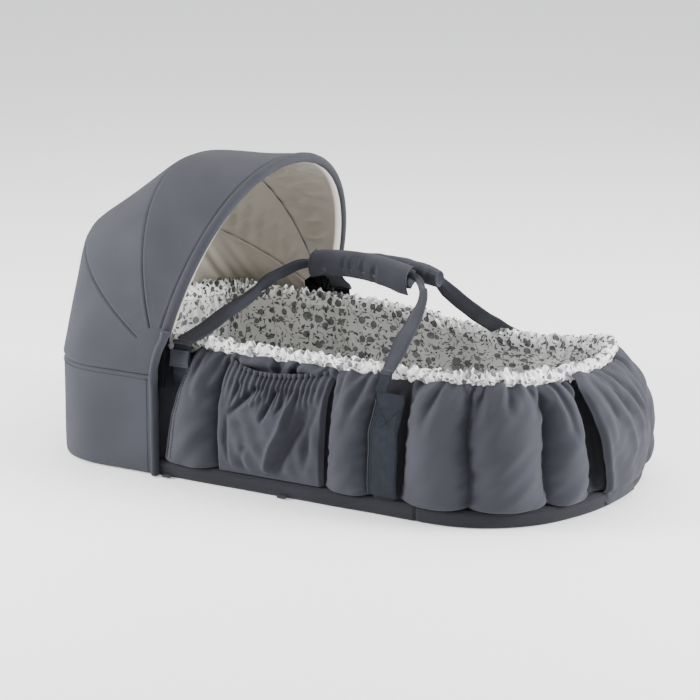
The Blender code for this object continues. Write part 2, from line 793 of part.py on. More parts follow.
def make_bow(name, angle, radius, hub_y):
    start = turn_at_reach(radius, 0.7 * HUB_RADIUS)
    turns = between(start, 180 - start, 26)
    path = [bow_point(angle, radius, hub_y, turn) for turn in turns]
    wire = tube(name + "_wire", path, BOW_WIRE_RADIUS, BOW_PLASTIC, resolution=1)
    bpy.context.view_layer.update()
    graph = bpy.context.evaluated_depsgraph_get()
    mesh = bpy.data.meshes.new_from_object(wire.evaluated_get(graph))
    mesh.name = name
    mesh.materials.clear()
    bpy.data.objects.remove(wire, do_unlink=True)
    bow = add_object(name, mesh, BOW_PLASTIC)
    centre = Vector((PIVOT_X, 0, PIVOT_Z))
    for side in (-1, 1):
        ends = (side * hub_y - HUB_THICKNESS / 2, side * hub_y + HUB_THICKNESS / 2)
        hub = guide(name + "_hub_" + side_name(side),
                    round_mesh(name + "_hub", centre, [(ends[0], HUB_RADIUS), (ends[1], HUB_RADIUS)], 16))
        bore = guide(name + "_bore_" + side_name(side),
                     round_mesh(name + "_bore", centre, [(ends[0] - 0.002, RIVET_RADIUS + GAP),
                                                         (ends[1] + 0.002, RIVET_RADIUS + GAP)], 16))
        boolean(bow, hub, "UNION")
        boolean(bow, bore, "DIFFERENCE")
    return bow


def make_hinges():
    """Bracket under the wrap and rivet through the three eyelets, on each side."""
    centre = Vector((PIVOT_X, 0, PIVOT_Z))
    front_hub_inner = REAR_HUB_Y - 2 * HUB_SPACING - HUB_THICKNESS / 2
    head = front_hub_inner - GAP
    for side in (-1, 1):
        label = side_name(side)
        outer = BRACKET_OUTER_Y
        inner = BRACKET_OUTER_Y - BRACKET_THICKNESS
        shape = [Vector((PIVOT_X - BRACKET_HALF_WIDTH, 0, PIVOT_Z - BRACKET_FOOT_DROP)),
                 Vector((PIVOT_X + BRACKET_HALF_WIDTH, 0, PIVOT_Z - BRACKET_FOOT_DROP))]
        for i in range(9):
            turn = math.pi * i / 8
            shape.append(Vector((PIVOT_X + BRACKET_HALF_WIDTH * math.cos(turn), 0,
                                 PIVOT_Z + BRACKET_HALF_WIDTH * math.sin(turn))))
        rings = [[Vector((p.x, side * y, p.z)) for p in shape] for y in (inner, outer)]
        bracket = loft(label + "_hinge_bracket", rings, BOW_PLASTIC)
        bore = guide(label + "_bracket_bore",
                     round_mesh(label + "_bracket_bore", centre,
                                [(side * (inner - 0.002), RIVET_RADIUS + GAP),
                                 (side * (outer + 0.002), RIVET_RADIUS + GAP)], 16))
        boolean(bracket, bore, "DIFFERENCE")
        rivet = round_mesh(label + "_hinge_rivet", centre, [
            (side * (head - RIVET_HEAD_THICKNESS), RIVET_HEAD_RADIUS),
            (side * head, RIVET_HEAD_RADIUS),
            (side * (head + 0.00001), RIVET_RADIUS),
            (side * outer, RIVET_RADIUS)], 16)
        add_object(label + "_hinge_rivet", rivet, RIVET_STEEL)


def panel_columns(front, rear, half_width, rise, margin, across=22, rows=4):
    """Ruled cloth between two bows, as columns that run from the rear bow forwards."""
    columns = []
    front_radius = front[1] + rise
    rear_radius = rear[1] + rise
    for i in range(across + 1):
        share = i / across
        first_turn = turn_at_reach(front_radius, PANEL_START_RADIUS)
        last_turn = turn_at_reach(rear_radius, PANEL_START_RADIUS)
        a = bow_point(front[0], front_radius, half_width, first_turn + (180 - 2 * first_turn) * share)
        b = bow_point(rear[0], rear_radius, half_width, last_turn + (180 - 2 * last_turn) * share)
        edge = margin / (b - a).length
        columns.append([b.lerp(a, edge + (1 - 2 * edge) * k / rows) for k in range(rows + 1)])
    return columns


def rear_columns(bottom, half_width, rise, rows, first_columns, margin):
    """Cloth from the wrap's top, or the lining's foot, up to the rear bow."""
    radius = REAR_BOW_RADIUS + rise
    start = turn_at_reach(radius, REAR_PANEL_REACH)
    columns = []
    count = len(bottom)
    lead = len(first_columns)
    for i, low in enumerate(bottom):
        mirrored = count - 1 - i
        if i < lead:
            high = first_columns[i]
        elif mirrored < lead:
            high = Vector((first_columns[mirrored].x, -first_columns[mirrored].y, first_columns[mirrored].z))
        else:
            share = (i - lead) / (count - 1 - 2 * lead)
            high = bow_point(REAR_BOW_ANGLE, radius, half_width, start + (180 - 2 * start) * share)
        stop = 1 - margin / (high - low).length
        columns.append([low.lerp(high, stop * k / rows) for k in range(rows + 1)])
    return columns


def make_hood_cloth():
    bows = [(FRONT_BOW_ANGLE, FRONT_BOW_RADIUS), (MIDDLE_BOW_ANGLE, MIDDLE_BOW_RADIUS),
            (REAR_BOW_ANGLE, REAR_BOW_RADIUS)]
    names = ("hood_front", "hood_mid")
    for name, front, rear in zip(names, bows, bows[1:]):
        columns = panel_columns(front, rear, CLOTH_HALF_WIDTH, CLOTH_RISE, CLOTH_EDGE)
        sheet(name + "_panel", columns, CLOTH_THICKNESS, SLATE_CLOTH)
        inside = panel_columns(front, rear, BASE_HALF_WIDTH - HOOD_LINING_INSET, -CLOTH_RISE, LINING_EDGE)
        sheet(name + "_lining", inside, HOOD_LINING_THICKNESS, BEIGE_LINING, outward=False)

    places = head_stations()
    bottom = [wall_point(u, GAP, WRAP_TOP + GAP) for u in places]
    lead = []
    for angle in (FRONT_BOW_ANGLE, MIDDLE_BOW_ANGLE):
        radius = REAR_BOW_RADIUS + CLOTH_RISE
        lead.append(bow_point(angle, radius, CLOTH_HALF_WIDTH, turn_at_reach(radius, REAR_PANEL_REACH)))
    columns = rear_columns(bottom, CLOTH_HALF_WIDTH, CLOTH_RISE, 4, lead, 2 * CLOTH_EDGE)
    sheet("hood_rear_panel", columns, CLOTH_THICKNESS, SLATE_CLOTH)

    inner_start = distance_at_x(REAR_LINING_EDGE_X)
    inner = [u for u in places if abs(u) >= inner_start - 0.001]
    if abs(inner[0] - inner_start) > 0.002:
        inner = [inner_start] + inner + [-inner_start]
    foot = [wall_point(u, -0.0045, WRAP_TOP + 0.004) for u in inner]
    columns = rear_columns(foot, BASE_HALF_WIDTH - HOOD_LINING_INSET, -CLOTH_RISE, 4, [], LINING_EDGE)
    sheet("hood_rear_lining", columns, HOOD_LINING_THICKNESS, BEIGE_LINING, outward=False)


def make_front_binding():
    """Rolled edge along the front bow, just ahead of the cloth."""
    lean = math.radians(FRONT_BOW_ANGLE)
    ahead = Vector((math.sin(lean), 0, -math.cos(lean))) * (BINDING_RADIUS + GAP)
    radius = FRONT_BOW_RADIUS + BINDING_RISE
    start = turn_at_reach(radius, PANEL_START_RADIUS)
    turns = between(start, 180 - start, 26)
    path = [bow_point(FRONT_BOW_ANGLE, radius, CLOTH_HALF_WIDTH + 0.0005, turn) + ahead for turn in turns]
    tube("front_edge_binding", path, BINDING_RADIUS, SLATE_CLOTH)


# Webbing and handles
def make_webbing(name, side, x, width):
    """Strap sewn up the wall, rolled at its top round the line that the handle swings on."""
    profile = wall_profile()
    inner = [(plain_level(WEBBING_START_Z) + GAP, WEBBING_START_Z)]
    for z, shown, wrapped, depth in profile[1:5]:
        inner.append((shown - CHANNEL_DEPTH * depth * (1 - STRAP_ZONE_LEVEL) + GAP, z))
    roll = Vector((-HANDLE_AXIS_INSET, HANDLE_AXIS_Z))
    shape = list(inner)
    thick = [(offset + WEBBING_THICKNESS, z) for offset, z in inner]
    last = Vector(inner[-1]) + Vector((WEBBING_THICKNESS / 2, 0))
    down = (last - roll).normalized()
    across = Vector((-down.y, down.x))
    start = math.atan2(down.y, down.x)
    half = math.asin(WEBBING_THICKNESS / 2 / WEBBING_ROLL_RADIUS)
    arc = []
    for i in range(11):
        turn = start - half - (2 * math.pi - 2 * half) * i / 10
        arc.append((roll.x + WEBBING_ROLL_RADIUS * math.cos(turn), roll.y + WEBBING_ROLL_RADIUS * math.sin(turn)))
    inside_first = Vector(arc[0]).to_2d() - roll
    if inside_first.dot(across) * (Vector(inner[-1]) - last).dot(across) < 0:
        arc.reverse()
    shape += arc + list(reversed(thick))
    rings = []
    for dx in (-width / 2, width / 2):
        rings.append([Vector((x + dx, side * (BASE_HALF_WIDTH + offset), z)) for offset, z in shape])
    loft(name, rings, WEBBING)


def make_keeper_tab(side):
    """Stitched tab that lies over the head webbing."""
    half = HEAD_WEBBING_WIDTH / 2 + 0.0008
    rings = []
    levels = [KEEPER_TAB_Z - KEEPER_TAB_HEIGHT / 2, wall_profile()[3][0], KEEPER_TAB_Z + KEEPER_TAB_HEIGHT / 2]
    levels = sorted(levels)
    lift = WEBBING_THICKNESS + 2 * GAP
    inner = [(plain_level(z) + lift, z) for z in levels]
    outer = [(offset + KEEPER_TAB_THICKNESS, z) for offset, z in reversed(inner)]
    for dx in (-half, half):
        rings.append([Vector((HEAD_WEBBING_X + dx, side * (BASE_HALF_WIDTH + offset), z))
                      for offset, z in inner + outer])
    loft(side_name(side) + "_keeper_tab", rings, WEBBING)


def handle_plane(side, grip_y, grip_z):
    """Direction from the swing axis to the grip, the plane's normal, and the distance."""
    axis = Vector((0, side * HANDLE_AXIS_Y, HANDLE_AXIS_Z))
    reach = Vector((0, grip_y, grip_z)) - axis
    along = reach.normalized()
    normal = Vector((1, 0, 0)).cross(along)
    return axis, along, normal, reach.length


def bezier(a, b, c, d, parts):
    points = []
    for i in range(parts + 1):
        t = i / parts
        points.append(a * (1 - t) ** 3 + b * 3 * t * (1 - t) ** 2 + c * 3 * t * t * (1 - t) + d * t ** 3)
    return points


def strap_route(reach, grip_x):
    """Middle line of the strap in the handle's plane: x, and distance from the swing axis."""
    start = WEBBING_ROLL_RADIUS + GAP
    head = Vector((HEAD_WEBBING_X, start))
    foot = Vector((FOOT_WEBBING_X, start))
    grip_head = Vector((grip_x[0] - 0.006, reach))
    grip_foot = Vector((grip_x[1] + 0.006, reach))
    first = bezier(head, head + Vector((0.045, 0.085)), grip_head - Vector((0.045, 0.0)), grip_head, 11)
    last = bezier(grip_foot, grip_foot + Vector((0.036, 0.0)), foot + Vector((-0.012, 0.080)), foot, 11)
    return first + last


def make_strap(name, side, grip_y, grip_z, grip_x):
    axis, along, normal, reach = handle_plane(side, grip_y, grip_z)
    route = strap_route(reach, grip_x)
    thick = WEBBING_THICKNESS / 2
    rings = []
    for i, place in enumerate(route):
        folded = min(1.0, max(0.0, (place.y / reach - 0.55) / 0.40))
        folded = folded * folded * (3 - 2 * folded)
        half = (STRAP_WIDTH + (FOLDED_STRAP_WIDTH - STRAP_WIDTH) * folded) / 2
        before = route[max(i - 1, 0)]
        after = route[min(i + 1, len(route) - 1)]
        direction = (after - before).normalized()
        if i == 0:
            direction = Vector((0.0, 1.0))
        if i == len(route) - 1:
            direction = Vector((0.0, -1.0))
        across = Vector((-direction.y, direction.x))
        ring = []
        for wide, up in ((-half, -thick), (half, -thick), (half, thick), (-half, thick)):
            flat = place + across * wide
            ring.append(axis + Vector((flat.x, 0, 0)) + along * flat.y + normal * up)
        rings.append(ring)
    loft(name, rings, WEBBING)


def grip_ring(x, y, z, radii, grow, scale, angles=None, count=18):
    turns = angles or [360 * i / count for i in range(count)]
    ring = []
    for turn in turns:
        t = math.radians(turn)
        ring.append(Vector((x, y + (radii[0] * scale + grow) * math.cos(t),
                            z + (radii[1] * scale + grow) * math.sin(t))))
    return ring


def grip_stations(grip_x):
    """Places along a grip and its thickness there."""
    length = grip_x[1] - grip_x[0]
    shares = (0.0, 0.06, 0.2, 0.5, 0.8, 0.94, 1.0)
    scales = (GRIP_END_TAPER - 0.10, GRIP_END_TAPER, 0.97, 1.0, 0.97, GRIP_END_TAPER, GRIP_END_TAPER - 0.10)
    return [(grip_x[0] + length * share, scale) for share, scale in zip(shares, scales)]


def make_grip(name, side, grip_y, grip_z, grip_x, radii):
    rings = [grip_ring(x, grip_y, grip_z, radii, 0.0, scale) for x, scale in grip_stations(grip_x)]
    grip = loft(name, rings, SLATE_CLOTH)
    axis, along, normal, reach = handle_plane(side, grip_y, grip_z)
    half = FOLDED_STRAP_WIDTH / 2 + STRAP_SLOT_CLEARANCE
    thick = WEBBING_THICKNESS / 2 + STRAP_SLOT_CLEARANCE
    middle = Vector((0, grip_y, grip_z))
    ends = []
    bm = bmesh.new()
    for x in (grip_x[0] - 0.01, grip_x[1] + 0.01):
        ends.append([bm.verts.new(middle + Vector((x, 0, 0)) + along * wide + normal * up)
                     for wide, up in ((-half, -thick), (half, -thick), (half, thick), (-half, thick))])
    for i in range(4):
        j = (i + 1) % 4
        bm.faces.new((ends[0][i], ends[0][j], ends[1][j], ends[1][i]))
    bm.faces.new(list(reversed(ends[0])))
    bm.faces.new(ends[1])
    boolean(grip, guide(name + "_slot", mesh_from(name + "_slot", bm)), "DIFFERENCE")


def shell_over_grip(name, start, end, steps, lift, thickness, margin, finish, rise_to=None):
    """Curved piece that lies over part of the near grip."""
    turns = between(start, end, steps)
    x_low = NEAR_GRIP_X[0] + margin
    x_high = NEAR_GRIP_X[1] - margin
    rings = []
    for x in between(x_low, x_high, 4):
        section = []
        for i, turn in enumerate(turns):
            rise = lift if rise_to is None else lift + (rise_to - lift) * min(1.0, 2.0 * i / steps)
            section.append(grip_ring(x, NEAR_GRIP_Y, NEAR_GRIP_Z, NEAR_GRIP_RADII, rise, 1.0, [turn])[0])
        for i, turn in reversed(list(enumerate(turns))):
            rise = lift if rise_to is None else lift + (rise_to - lift) * min(1.0, 2.0 * i / steps)
            section.append(grip_ring(x, NEAR_GRIP_Y, NEAR_GRIP_Z, NEAR_GRIP_RADII,
                                     rise + thickness, 1.0, [turn])[0])
        rings.append(section)
    loft(name, rings, finish)


def make_handles():
    for side in (-1, 1):
        label = side_name(side)
        make_webbing(label + "_head_webbing", side, HEAD_WEBBING_X, HEAD_WEBBING_WIDTH)
        make_webbing(label + "_foot_webbing", side, FOOT_WEBBING_X, FOOT_WEBBING_WIDTH)
        make_keeper_tab(side)
    make_strap("near_handle_strap", -1, NEAR_GRIP_Y, NEAR_GRIP_Z, NEAR_GRIP_X)
    make_strap("far_handle_strap", 1, FAR_GRIP_Y, FAR_GRIP_Z, FAR_GRIP_X)
    make_grip("near_grip", -1, NEAR_GRIP_Y, NEAR_GRIP_Z, NEAR_GRIP_X, NEAR_GRIP_RADII)
    make_grip("far_grip", 1, FAR_GRIP_Y, FAR_GRIP_Z, FAR_GRIP_X, FAR_GRIP_RADII)
    shell_over_grip("grip_flap", FLAP_ANGLES[0], FLAP_ANGLES[1], 12, GAP, FLAP_THICKNESS,
                    FLAP_MARGIN, SLATE_CLOTH, rise_to=FLAP_LIFT)
    shell_over_grip("grip_loop_tape", TAPE_ANGLES[0], TAPE_ANGLES[1], 3, GAP, TAPE_THICKNESS,
                    TAPE_MARGIN, DARK_CLOTH)
    shell_over_grip("grip_hook_tape", TAPE_ANGLES[0], TAPE_ANGLES[1], 3, FLAP_LIFT - GAP - TAPE_THICKNESS,
                    TAPE_THICKNESS, TAPE_MARGIN, DARK_CLOTH)


def main():
    clear_scene()
    make_base()
    make_base_tabs()
    make_wall()
    make_wadding()
    make_rim()
    make_foot_cover()
    make_pocket()
    make_wrap()
    make_wrap_piping()
    make_bow("rear_bow", REAR_BOW_ANGLE, REAR_BOW_RADIUS, REAR_HUB_Y)
    make_bow("mid_bow", MIDDLE_BOW_ANGLE, MIDDLE_BOW_RADIUS, REAR_HUB_Y - HUB_SPACING)
    make_bow("front_bow", FRONT_BOW_ANGLE, FRONT_BOW_RADIUS, REAR_HUB_Y - 2 * HUB_SPACING)
    make_hinges()
    make_hood_cloth()
    make_front_binding()
    make_handles()


main()
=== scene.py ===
"""Looks of the baby nest: cloth, folds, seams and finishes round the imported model."""
import json
import math

import bpy
import numpy as np
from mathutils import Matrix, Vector


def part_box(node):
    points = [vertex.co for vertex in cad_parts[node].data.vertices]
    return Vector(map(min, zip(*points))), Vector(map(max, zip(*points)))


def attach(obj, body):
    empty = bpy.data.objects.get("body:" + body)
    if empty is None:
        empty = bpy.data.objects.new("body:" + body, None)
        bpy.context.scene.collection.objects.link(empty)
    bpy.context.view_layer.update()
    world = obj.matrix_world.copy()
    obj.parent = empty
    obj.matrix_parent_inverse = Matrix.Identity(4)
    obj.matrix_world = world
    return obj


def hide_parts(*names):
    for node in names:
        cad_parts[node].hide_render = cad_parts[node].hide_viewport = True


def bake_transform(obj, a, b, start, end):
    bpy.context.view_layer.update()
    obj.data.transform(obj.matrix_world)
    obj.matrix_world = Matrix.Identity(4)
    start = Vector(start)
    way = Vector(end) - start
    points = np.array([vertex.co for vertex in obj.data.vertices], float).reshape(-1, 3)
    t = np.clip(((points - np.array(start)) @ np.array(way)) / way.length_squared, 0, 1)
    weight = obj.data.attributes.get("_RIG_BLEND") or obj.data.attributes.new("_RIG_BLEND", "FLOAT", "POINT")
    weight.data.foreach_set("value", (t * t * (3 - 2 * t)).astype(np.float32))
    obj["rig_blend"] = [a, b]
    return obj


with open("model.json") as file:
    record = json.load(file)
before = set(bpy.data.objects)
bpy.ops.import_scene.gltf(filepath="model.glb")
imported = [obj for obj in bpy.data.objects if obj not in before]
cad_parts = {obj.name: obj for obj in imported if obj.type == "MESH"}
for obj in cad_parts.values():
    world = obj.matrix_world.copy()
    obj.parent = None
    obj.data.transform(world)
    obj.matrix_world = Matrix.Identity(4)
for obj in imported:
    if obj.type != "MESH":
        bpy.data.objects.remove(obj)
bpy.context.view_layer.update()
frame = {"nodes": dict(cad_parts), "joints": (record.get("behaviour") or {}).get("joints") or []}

# Plan of the nest, the same outline as the solids have
tray_low, tray_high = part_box("bottom_cover")
HEAD_X = tray_low.x
FOOT_X = tray_high.x
HALF_WIDTH = tray_high.y
FOOT_DEPTH = 0.1586
FOOT_SQUARENESS = 2.2
HEAD_DEPTH = 0.1226
HEAD_SQUARENESS = 2.6

# Wall of stuffed channels
RIM_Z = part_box("outer_cover")[1].z
FOOT_PANEL_HALF = 0.071
FOOT_PAD_WIDTHS = (0.065, 0.102)
SIDE_PAD_START_X = 0.173
FOOT_WEBBING_X = 0.153
FOOT_WEBBING_WIDTH = 0.038
MIDDLE_PAD_START_X = 0.069
POCKET_END_X = -0.086
HEAD_WEBBING_X = -0.140
HEAD_WEBBING_WIDTH = 0.025
WRAP_EDGE_X = -0.1756
WRAP_TOP = 0.130
CHANNEL_DEPTH = 0.011
LINING_QUILT_PITCH = 0.098

# Hood
PIVOT_X, _, PIVOT_Z = next(j["pos_m"] for j in frame["joints"] if j["name"] == "hood_rear_fold")
FRONT_BOW = (73.5, 0.2310)
MIDDLE_BOW = (109.0, 0.2280)
REAR_BOW = (148.0, 0.2400)
BOW_SQUARENESS = 2.1
CLOTH_RISE = 0.0045
CLOTH_HALF_WIDTH = HALF_WIDTH + 0.0022
LINING_HALF_WIDTH = HALF_WIDTH - 0.0180

# Cloth thickness and mesh spacing
CLOTH = 0.0011
STEP = 0.0034
ACROSS_STEP = 0.0026


def smooth(low, high, value):
    """0 up to low, 1 from high on, with a soft step between; high may be the lower one."""
    t = np.clip((np.asarray(value, float) - low) / (high - low), 0, 1)
    return t * t * (3 - 2 * t)


def hump(share, power=1.0):
    """Rises from 0 to 1 and back over shares from 0 to 1."""
    return np.sin(np.pi * share) ** power


def bell(distance, half):
    """1 at no distance, fading over this half width."""
    return np.exp(-(distance / half) ** 2)


def unit(vectors):
    """The same vectors with length 1."""
    return vectors / np.linalg.norm(vectors, axis=-1, keepdims=True)


def run_along(line):
    """Distance along a line to each of its points."""
    return np.concatenate([[0.0], np.cumsum(np.linalg.norm(np.diff(line, axis=0), axis=1))])


def around_turn(count):
    """Evenly spaced turns round a circle, in radians."""
    return np.linspace(0, 2 * math.pi, count, endpoint=False)


def rounded(value, power):
    """A sine or cosine squared off (power below 1) with its sign kept."""
    return np.sign(value) * np.abs(value) ** power


def layout(across, along):
    """Cloth layout in metres from what runs across and along, broadcast together."""
    return np.stack(np.broadcast_arrays(across, along), axis=-1)


CORNER_ROWS = 600


def outline_table():
    """Rows of x, y and normal along the near half of the plan, from the foot's middle to the head's."""
    t = np.linspace(1e-6, math.pi / 2 - 1e-6, CORNER_ROWS)

    def corner(edge_x, depth, power, sign):
        across = np.sin(t) ** (2 / power)
        along = np.cos(t) ** (2 / power)
        x = edge_x + sign * depth * (along - 1)
        nx = sign * along ** (power - 1) / depth
        ny = across ** (power - 1) / HALF_WIDTH
        return np.stack([x, -HALF_WIDTH * across, nx, -ny], axis=1)

    rows = np.concatenate([corner(FOOT_X, FOOT_DEPTH, FOOT_SQUARENESS, 1),
                           corner(HEAD_X, HEAD_DEPTH, HEAD_SQUARENESS, -1)[::-1]])
    rows[:, 2:] = unit(rows[:, 2:])
    steps = np.hypot(np.diff(rows[:, 0]), np.diff(rows[:, 1]))
    return np.concatenate([[0.0], np.cumsum(steps)]), rows


DISTANCE, ROWS = outline_table()
HALF_GIRTH = DISTANCE[-1]
STRAIGHT = slice(CORNER_ROWS // 2, CORNER_ROWS * 3 // 2)


def at_x(x):
    """Distance from the foot's middle to the place on the straight side with this x."""
    return float(np.interp(-x, -ROWS[STRAIGHT, 0], DISTANCE[STRAIGHT]))


def on_wall(u, offset, z):
    """Points at distance u round the plan (near side positive), this far out from it, at height z."""
    u, offset, z = np.broadcast_arrays(np.asarray(u, float), offset, z)
    side = np.where(u >= 0, 1.0, -1.0)
    x, y, nx, ny = (np.interp(np.abs(u), DISTANCE, ROWS[:, k]) for k in range(4))
    length = np.hypot(nx, ny)
    return np.stack([x + nx / length * offset, side * (y + ny / length * offset), z], axis=-1)


def round_head(q):
    """Distance round the plan from one that runs on past the head's middle."""
    return np.where(q > HALF_GIRTH, q - 2 * HALF_GIRTH, q)


def plan_normals(u):
    """Outward unit vectors of the plan."""
    return on_wall(u, 1.0 + 0 * u, 0 * u) - on_wall(u, 0 * u, 0 * u)


def level_ring(u, offset, z, shrink=1.0):
    """Ring round the plan at one height, drawn in towards the middle."""
    ring = on_wall(u, offset, z + 0 * u)
    ring[:, :2] *= shrink
    return ring


def waves(u, v, seed, count, length, slant, sizes, spread, shape):
    """Sum of waves of about this length along u, each with its own size, lean and phase."""
    rng = np.random.default_rng(seed)
    total = 0.0
    for _ in range(count):
        size = length * rng.uniform(*sizes)
        lean = slant + rng.normal(0, spread)
        phase = rng.uniform(0, 2 * math.pi)
        total = total + shape(u + lean * v, size, phase)
    return total / math.sqrt(count)


def ripple(u, v, seed, count, length, slant=0.0):
    """Smooth irregular waves of about one height."""
    return waves(u, v, seed, count, length, slant, (0.65, 1.6), 0.18,
                 lambda place, size, phase: np.sin(2 * math.pi * place / size + phase))


def crease(u, v, seed, count, length, slant=0.0):
    """Like ripple, with sharp crests and round hollows."""
    return waves(u, v, seed, count, length, slant, (0.6, 1.7), 0.25,
                 lambda place, size, phase: 1 - 2 * np.abs(np.sin(math.pi * place / size + phase)) ** 1.1)


# Mesh builders
def quad_grid(nu, nv, closed_u=False, closed_v=False, flip=False):
    """Faces over nu columns of nv points each, column by column."""
    i, k = np.meshgrid(np.arange(nu - (not closed_u)), np.arange(nv - (not closed_v)), indexing="ij")
    j, m = (i + 1) % nu, (k + 1) % nv
    quads = np.stack([i * nv + k, j * nv + k, j * nv + m, i * nv + m], axis=-1).reshape(-1, 4)
    return np.roll(quads[:, ::-1], 1, axis=1) if flip else quads


def build(name, points, faces, uv=None, sharp=None):
    """Smooth object; uv has a row for each corner of the faces, in metres of cloth."""
    mesh = bpy.data.meshes.new(name)
    mesh.from_pydata(np.reshape(points, (-1, 3)).tolist(), [], faces)
    if uv is not None:
        mesh.uv_layers.new(name="cloth").data.foreach_set("uv", np.asarray(uv, np.float32).reshape(-1))
    mesh.shade_smooth()
    if sharp:
        mesh.set_sharp_from_angle(angle=math.radians(sharp))
    return link(bpy.data.objects.new(name, mesh))


def link(made):
    """Puts an object into the scene."""
    bpy.context.collection.objects.link(made)
    return made


def grid_object(name, points, uv, flip=False):
    """Mesh over a grid of points [column, row, xyz]."""
    quads = quad_grid(*points.shape[:2])[:, ::-1 if flip else 1]
    return build(name, points, quads.tolist(), uv.reshape(-1, 2)[quads.reshape(-1)])


def tube_object(name, points, uv):
    """Closed mesh through rings of points [ring, place on ring, xyz], with both ends closed."""
    rings, around = points.shape[:2]
    last = (rings - 1) * around
    faces = quad_grid(rings, around, closed_v=True).tolist()
    faces += [list(range(around)), list(range(last + around - 1, last - 1, -1))]
    return build(name, points, faces, uv.reshape(-1, 2)[np.concatenate(faces)], sharp=60)


def thicken(piece, thickness, offset=-1.0):
    """Gives a sheet its thickness, inwards by default."""
    solid = piece.modifiers.new("thickness", "SOLIDIFY")
    solid.thickness = thickness
    solid.offset = offset


def refine(piece):
    """Smoother final mesh."""
    finer = piece.modifiers.new("finer", "SUBSURF")
    finer.levels = finer.render_levels = 1


def band_object(name, centre, wide, normal, width, thickness, crown=0.0, profile=12):
    """Strap along a line of centres: closed, with rounded edges."""
    turn = around_turn(profile * 2)
    across = rounded(np.cos(turn), 0.35)
    flat = across[None, :] * np.broadcast_to(np.asarray(width, float), (len(centre),))[:, None] / 2
    lift = rounded(np.sin(turn), 0.8) * thickness / 2 - crown * across ** 2
    points = centre[:, None, :] + wide[:, None, :] * flat[..., None] + normal[:, None, :] * lift[None, :, None]
    return tube_object(name, points, layout(flat, run_along(centre)[:, None]))


def along_path(points, spacing):
    """The same line with evenly spaced points on a smooth curve through the given ones."""
    points = np.asarray(points, float)
    before = 2 * points[0] - points[1]
    after = 2 * points[-1] - points[-2]
    p = np.vstack([before, points, after])
    pieces = []
    for k in range(1, len(p) - 2):
        t = np.linspace(0, 1, 24, endpoint=False)[:, None]
        pieces.append(0.5 * (2 * p[k] + (p[k + 1] - p[k - 1]) * t
                             + (2 * p[k - 1] - 5 * p[k] + 4 * p[k + 1] - p[k + 2]) * t ** 2
                             + (3 * p[k] - p[k - 1] - 3 * p[k + 1] + p[k + 2]) * t ** 3))
    dense = np.vstack(pieces + [points[-1:]])
    run = run_along(dense)
    places = np.linspace(0, run[-1], max(2, int(round(run[-1] / spacing)) + 1))
    return np.stack([np.interp(places, run, dense[:, k]) for k in range(3)], axis=1)


def round_tube(name, line, radii, around=14, squash=(1.0, 1.0), up=(0, 0, 1)):
    """Round or oval roll of cloth along a line."""
    direction = unit(np.gradient(line, axis=0))
    first = unit(np.cross(direction, np.asarray(up, float)))
    second = np.cross(first, direction)
    turn = around_turn(around)
    radii = np.broadcast_to(np.asarray(radii, float), (len(line),))[:, None, None]
    ring = (first[:, None, :] * (np.cos(turn) * squash[0])[None, :, None]
            + second[:, None, :] * (np.sin(turn) * squash[1])[None, :, None])
    return tube_object(name, line[:, None, :] + radii * ring, layout((turn * 0.004)[None, :], run_along(line)[:, None]))


# Simulated cloth
CLOTH_SETTINGS = {"quality": 6, "mass": 0.02, "tension_stiffness": 15.0, "compression_stiffness": 12.0,
                  "shear_stiffness": 4.0, "bending_stiffness": 0.02, "air_damping": 2.0, "vertex_group_mass": "sewn",
                  "use_pressure": True, "uniform_pressure_force": 9.0}


def settle(patches, frames=13, cap=0.008):
    """Runs Blender's cloth on grids of points that are held where told.

    A patch is (points, cut, held): the start, the same grid as it was cut flat, and 1 where it is sewn down.
    No point moves further than the cap."""
    first, faces = 0, []
    for points, _, _ in patches:
        faces.append(quad_grid(*points.shape[:2]) + first)
        first += points.shape[0] * points.shape[1]
    start, cuts = (np.concatenate([patch[k].reshape(-1, 3) for patch in patches]) for k in (0, 1))
    held = np.concatenate([sewn.reshape(-1) for _, _, sewn in patches])
    mesh = bpy.data.meshes.new("settling")
    mesh.from_pydata(start.tolist(), [], np.concatenate(faces).tolist())
    piece = link(bpy.data.objects.new("settling", mesh))
    group = piece.vertex_groups.new(name="sewn")
    group.add(np.nonzero(held > 0.5)[0].tolist(), 1.0, "REPLACE")
    piece.shape_key_add(name="start")
    flat = piece.shape_key_add(name="cut")
    flat.data.foreach_set("co", cuts.astype(np.float32).reshape(-1))
    cloth = piece.modifiers.new("cloth", "CLOTH")
    for setting, value in CLOTH_SETTINGS.items():
        setattr(cloth.settings, setting, value)
    cloth.settings.rest_shape_key = flat
    cloth.settings.effector_weights.gravity = 0.0
    cloth.point_cache.frame_start = 1
    cloth.point_cache.frame_end = frames
    scene = bpy.context.scene
    for number in range(1, frames + 1):
        scene.frame_set(number)
    done = piece.evaluated_get(bpy.context.evaluated_depsgraph_get())
    found = np.zeros(len(start) * 3)
    done.data.vertices.foreach_get("co", found)
    move = found.reshape(-1, 3) - start
    length = np.linalg.norm(move, axis=1, keepdims=True)
    moved = start + move * np.minimum(1.0, cap / np.maximum(length, 1e-9))
    bpy.data.objects.remove(piece, do_unlink=True)
    scene.frame_set(1)
    results, first = [], 0
    for points, _, _ in patches:
        count = points.shape[0] * points.shape[1]
        results.append(moved[first:first + count].reshape(points.shape))
        first += count
    return results


STITCH_BULGE = np.array([0.35, 0.85, 1.0, 0.85, 0.35])[:, None]
STITCH_AROUND = 6


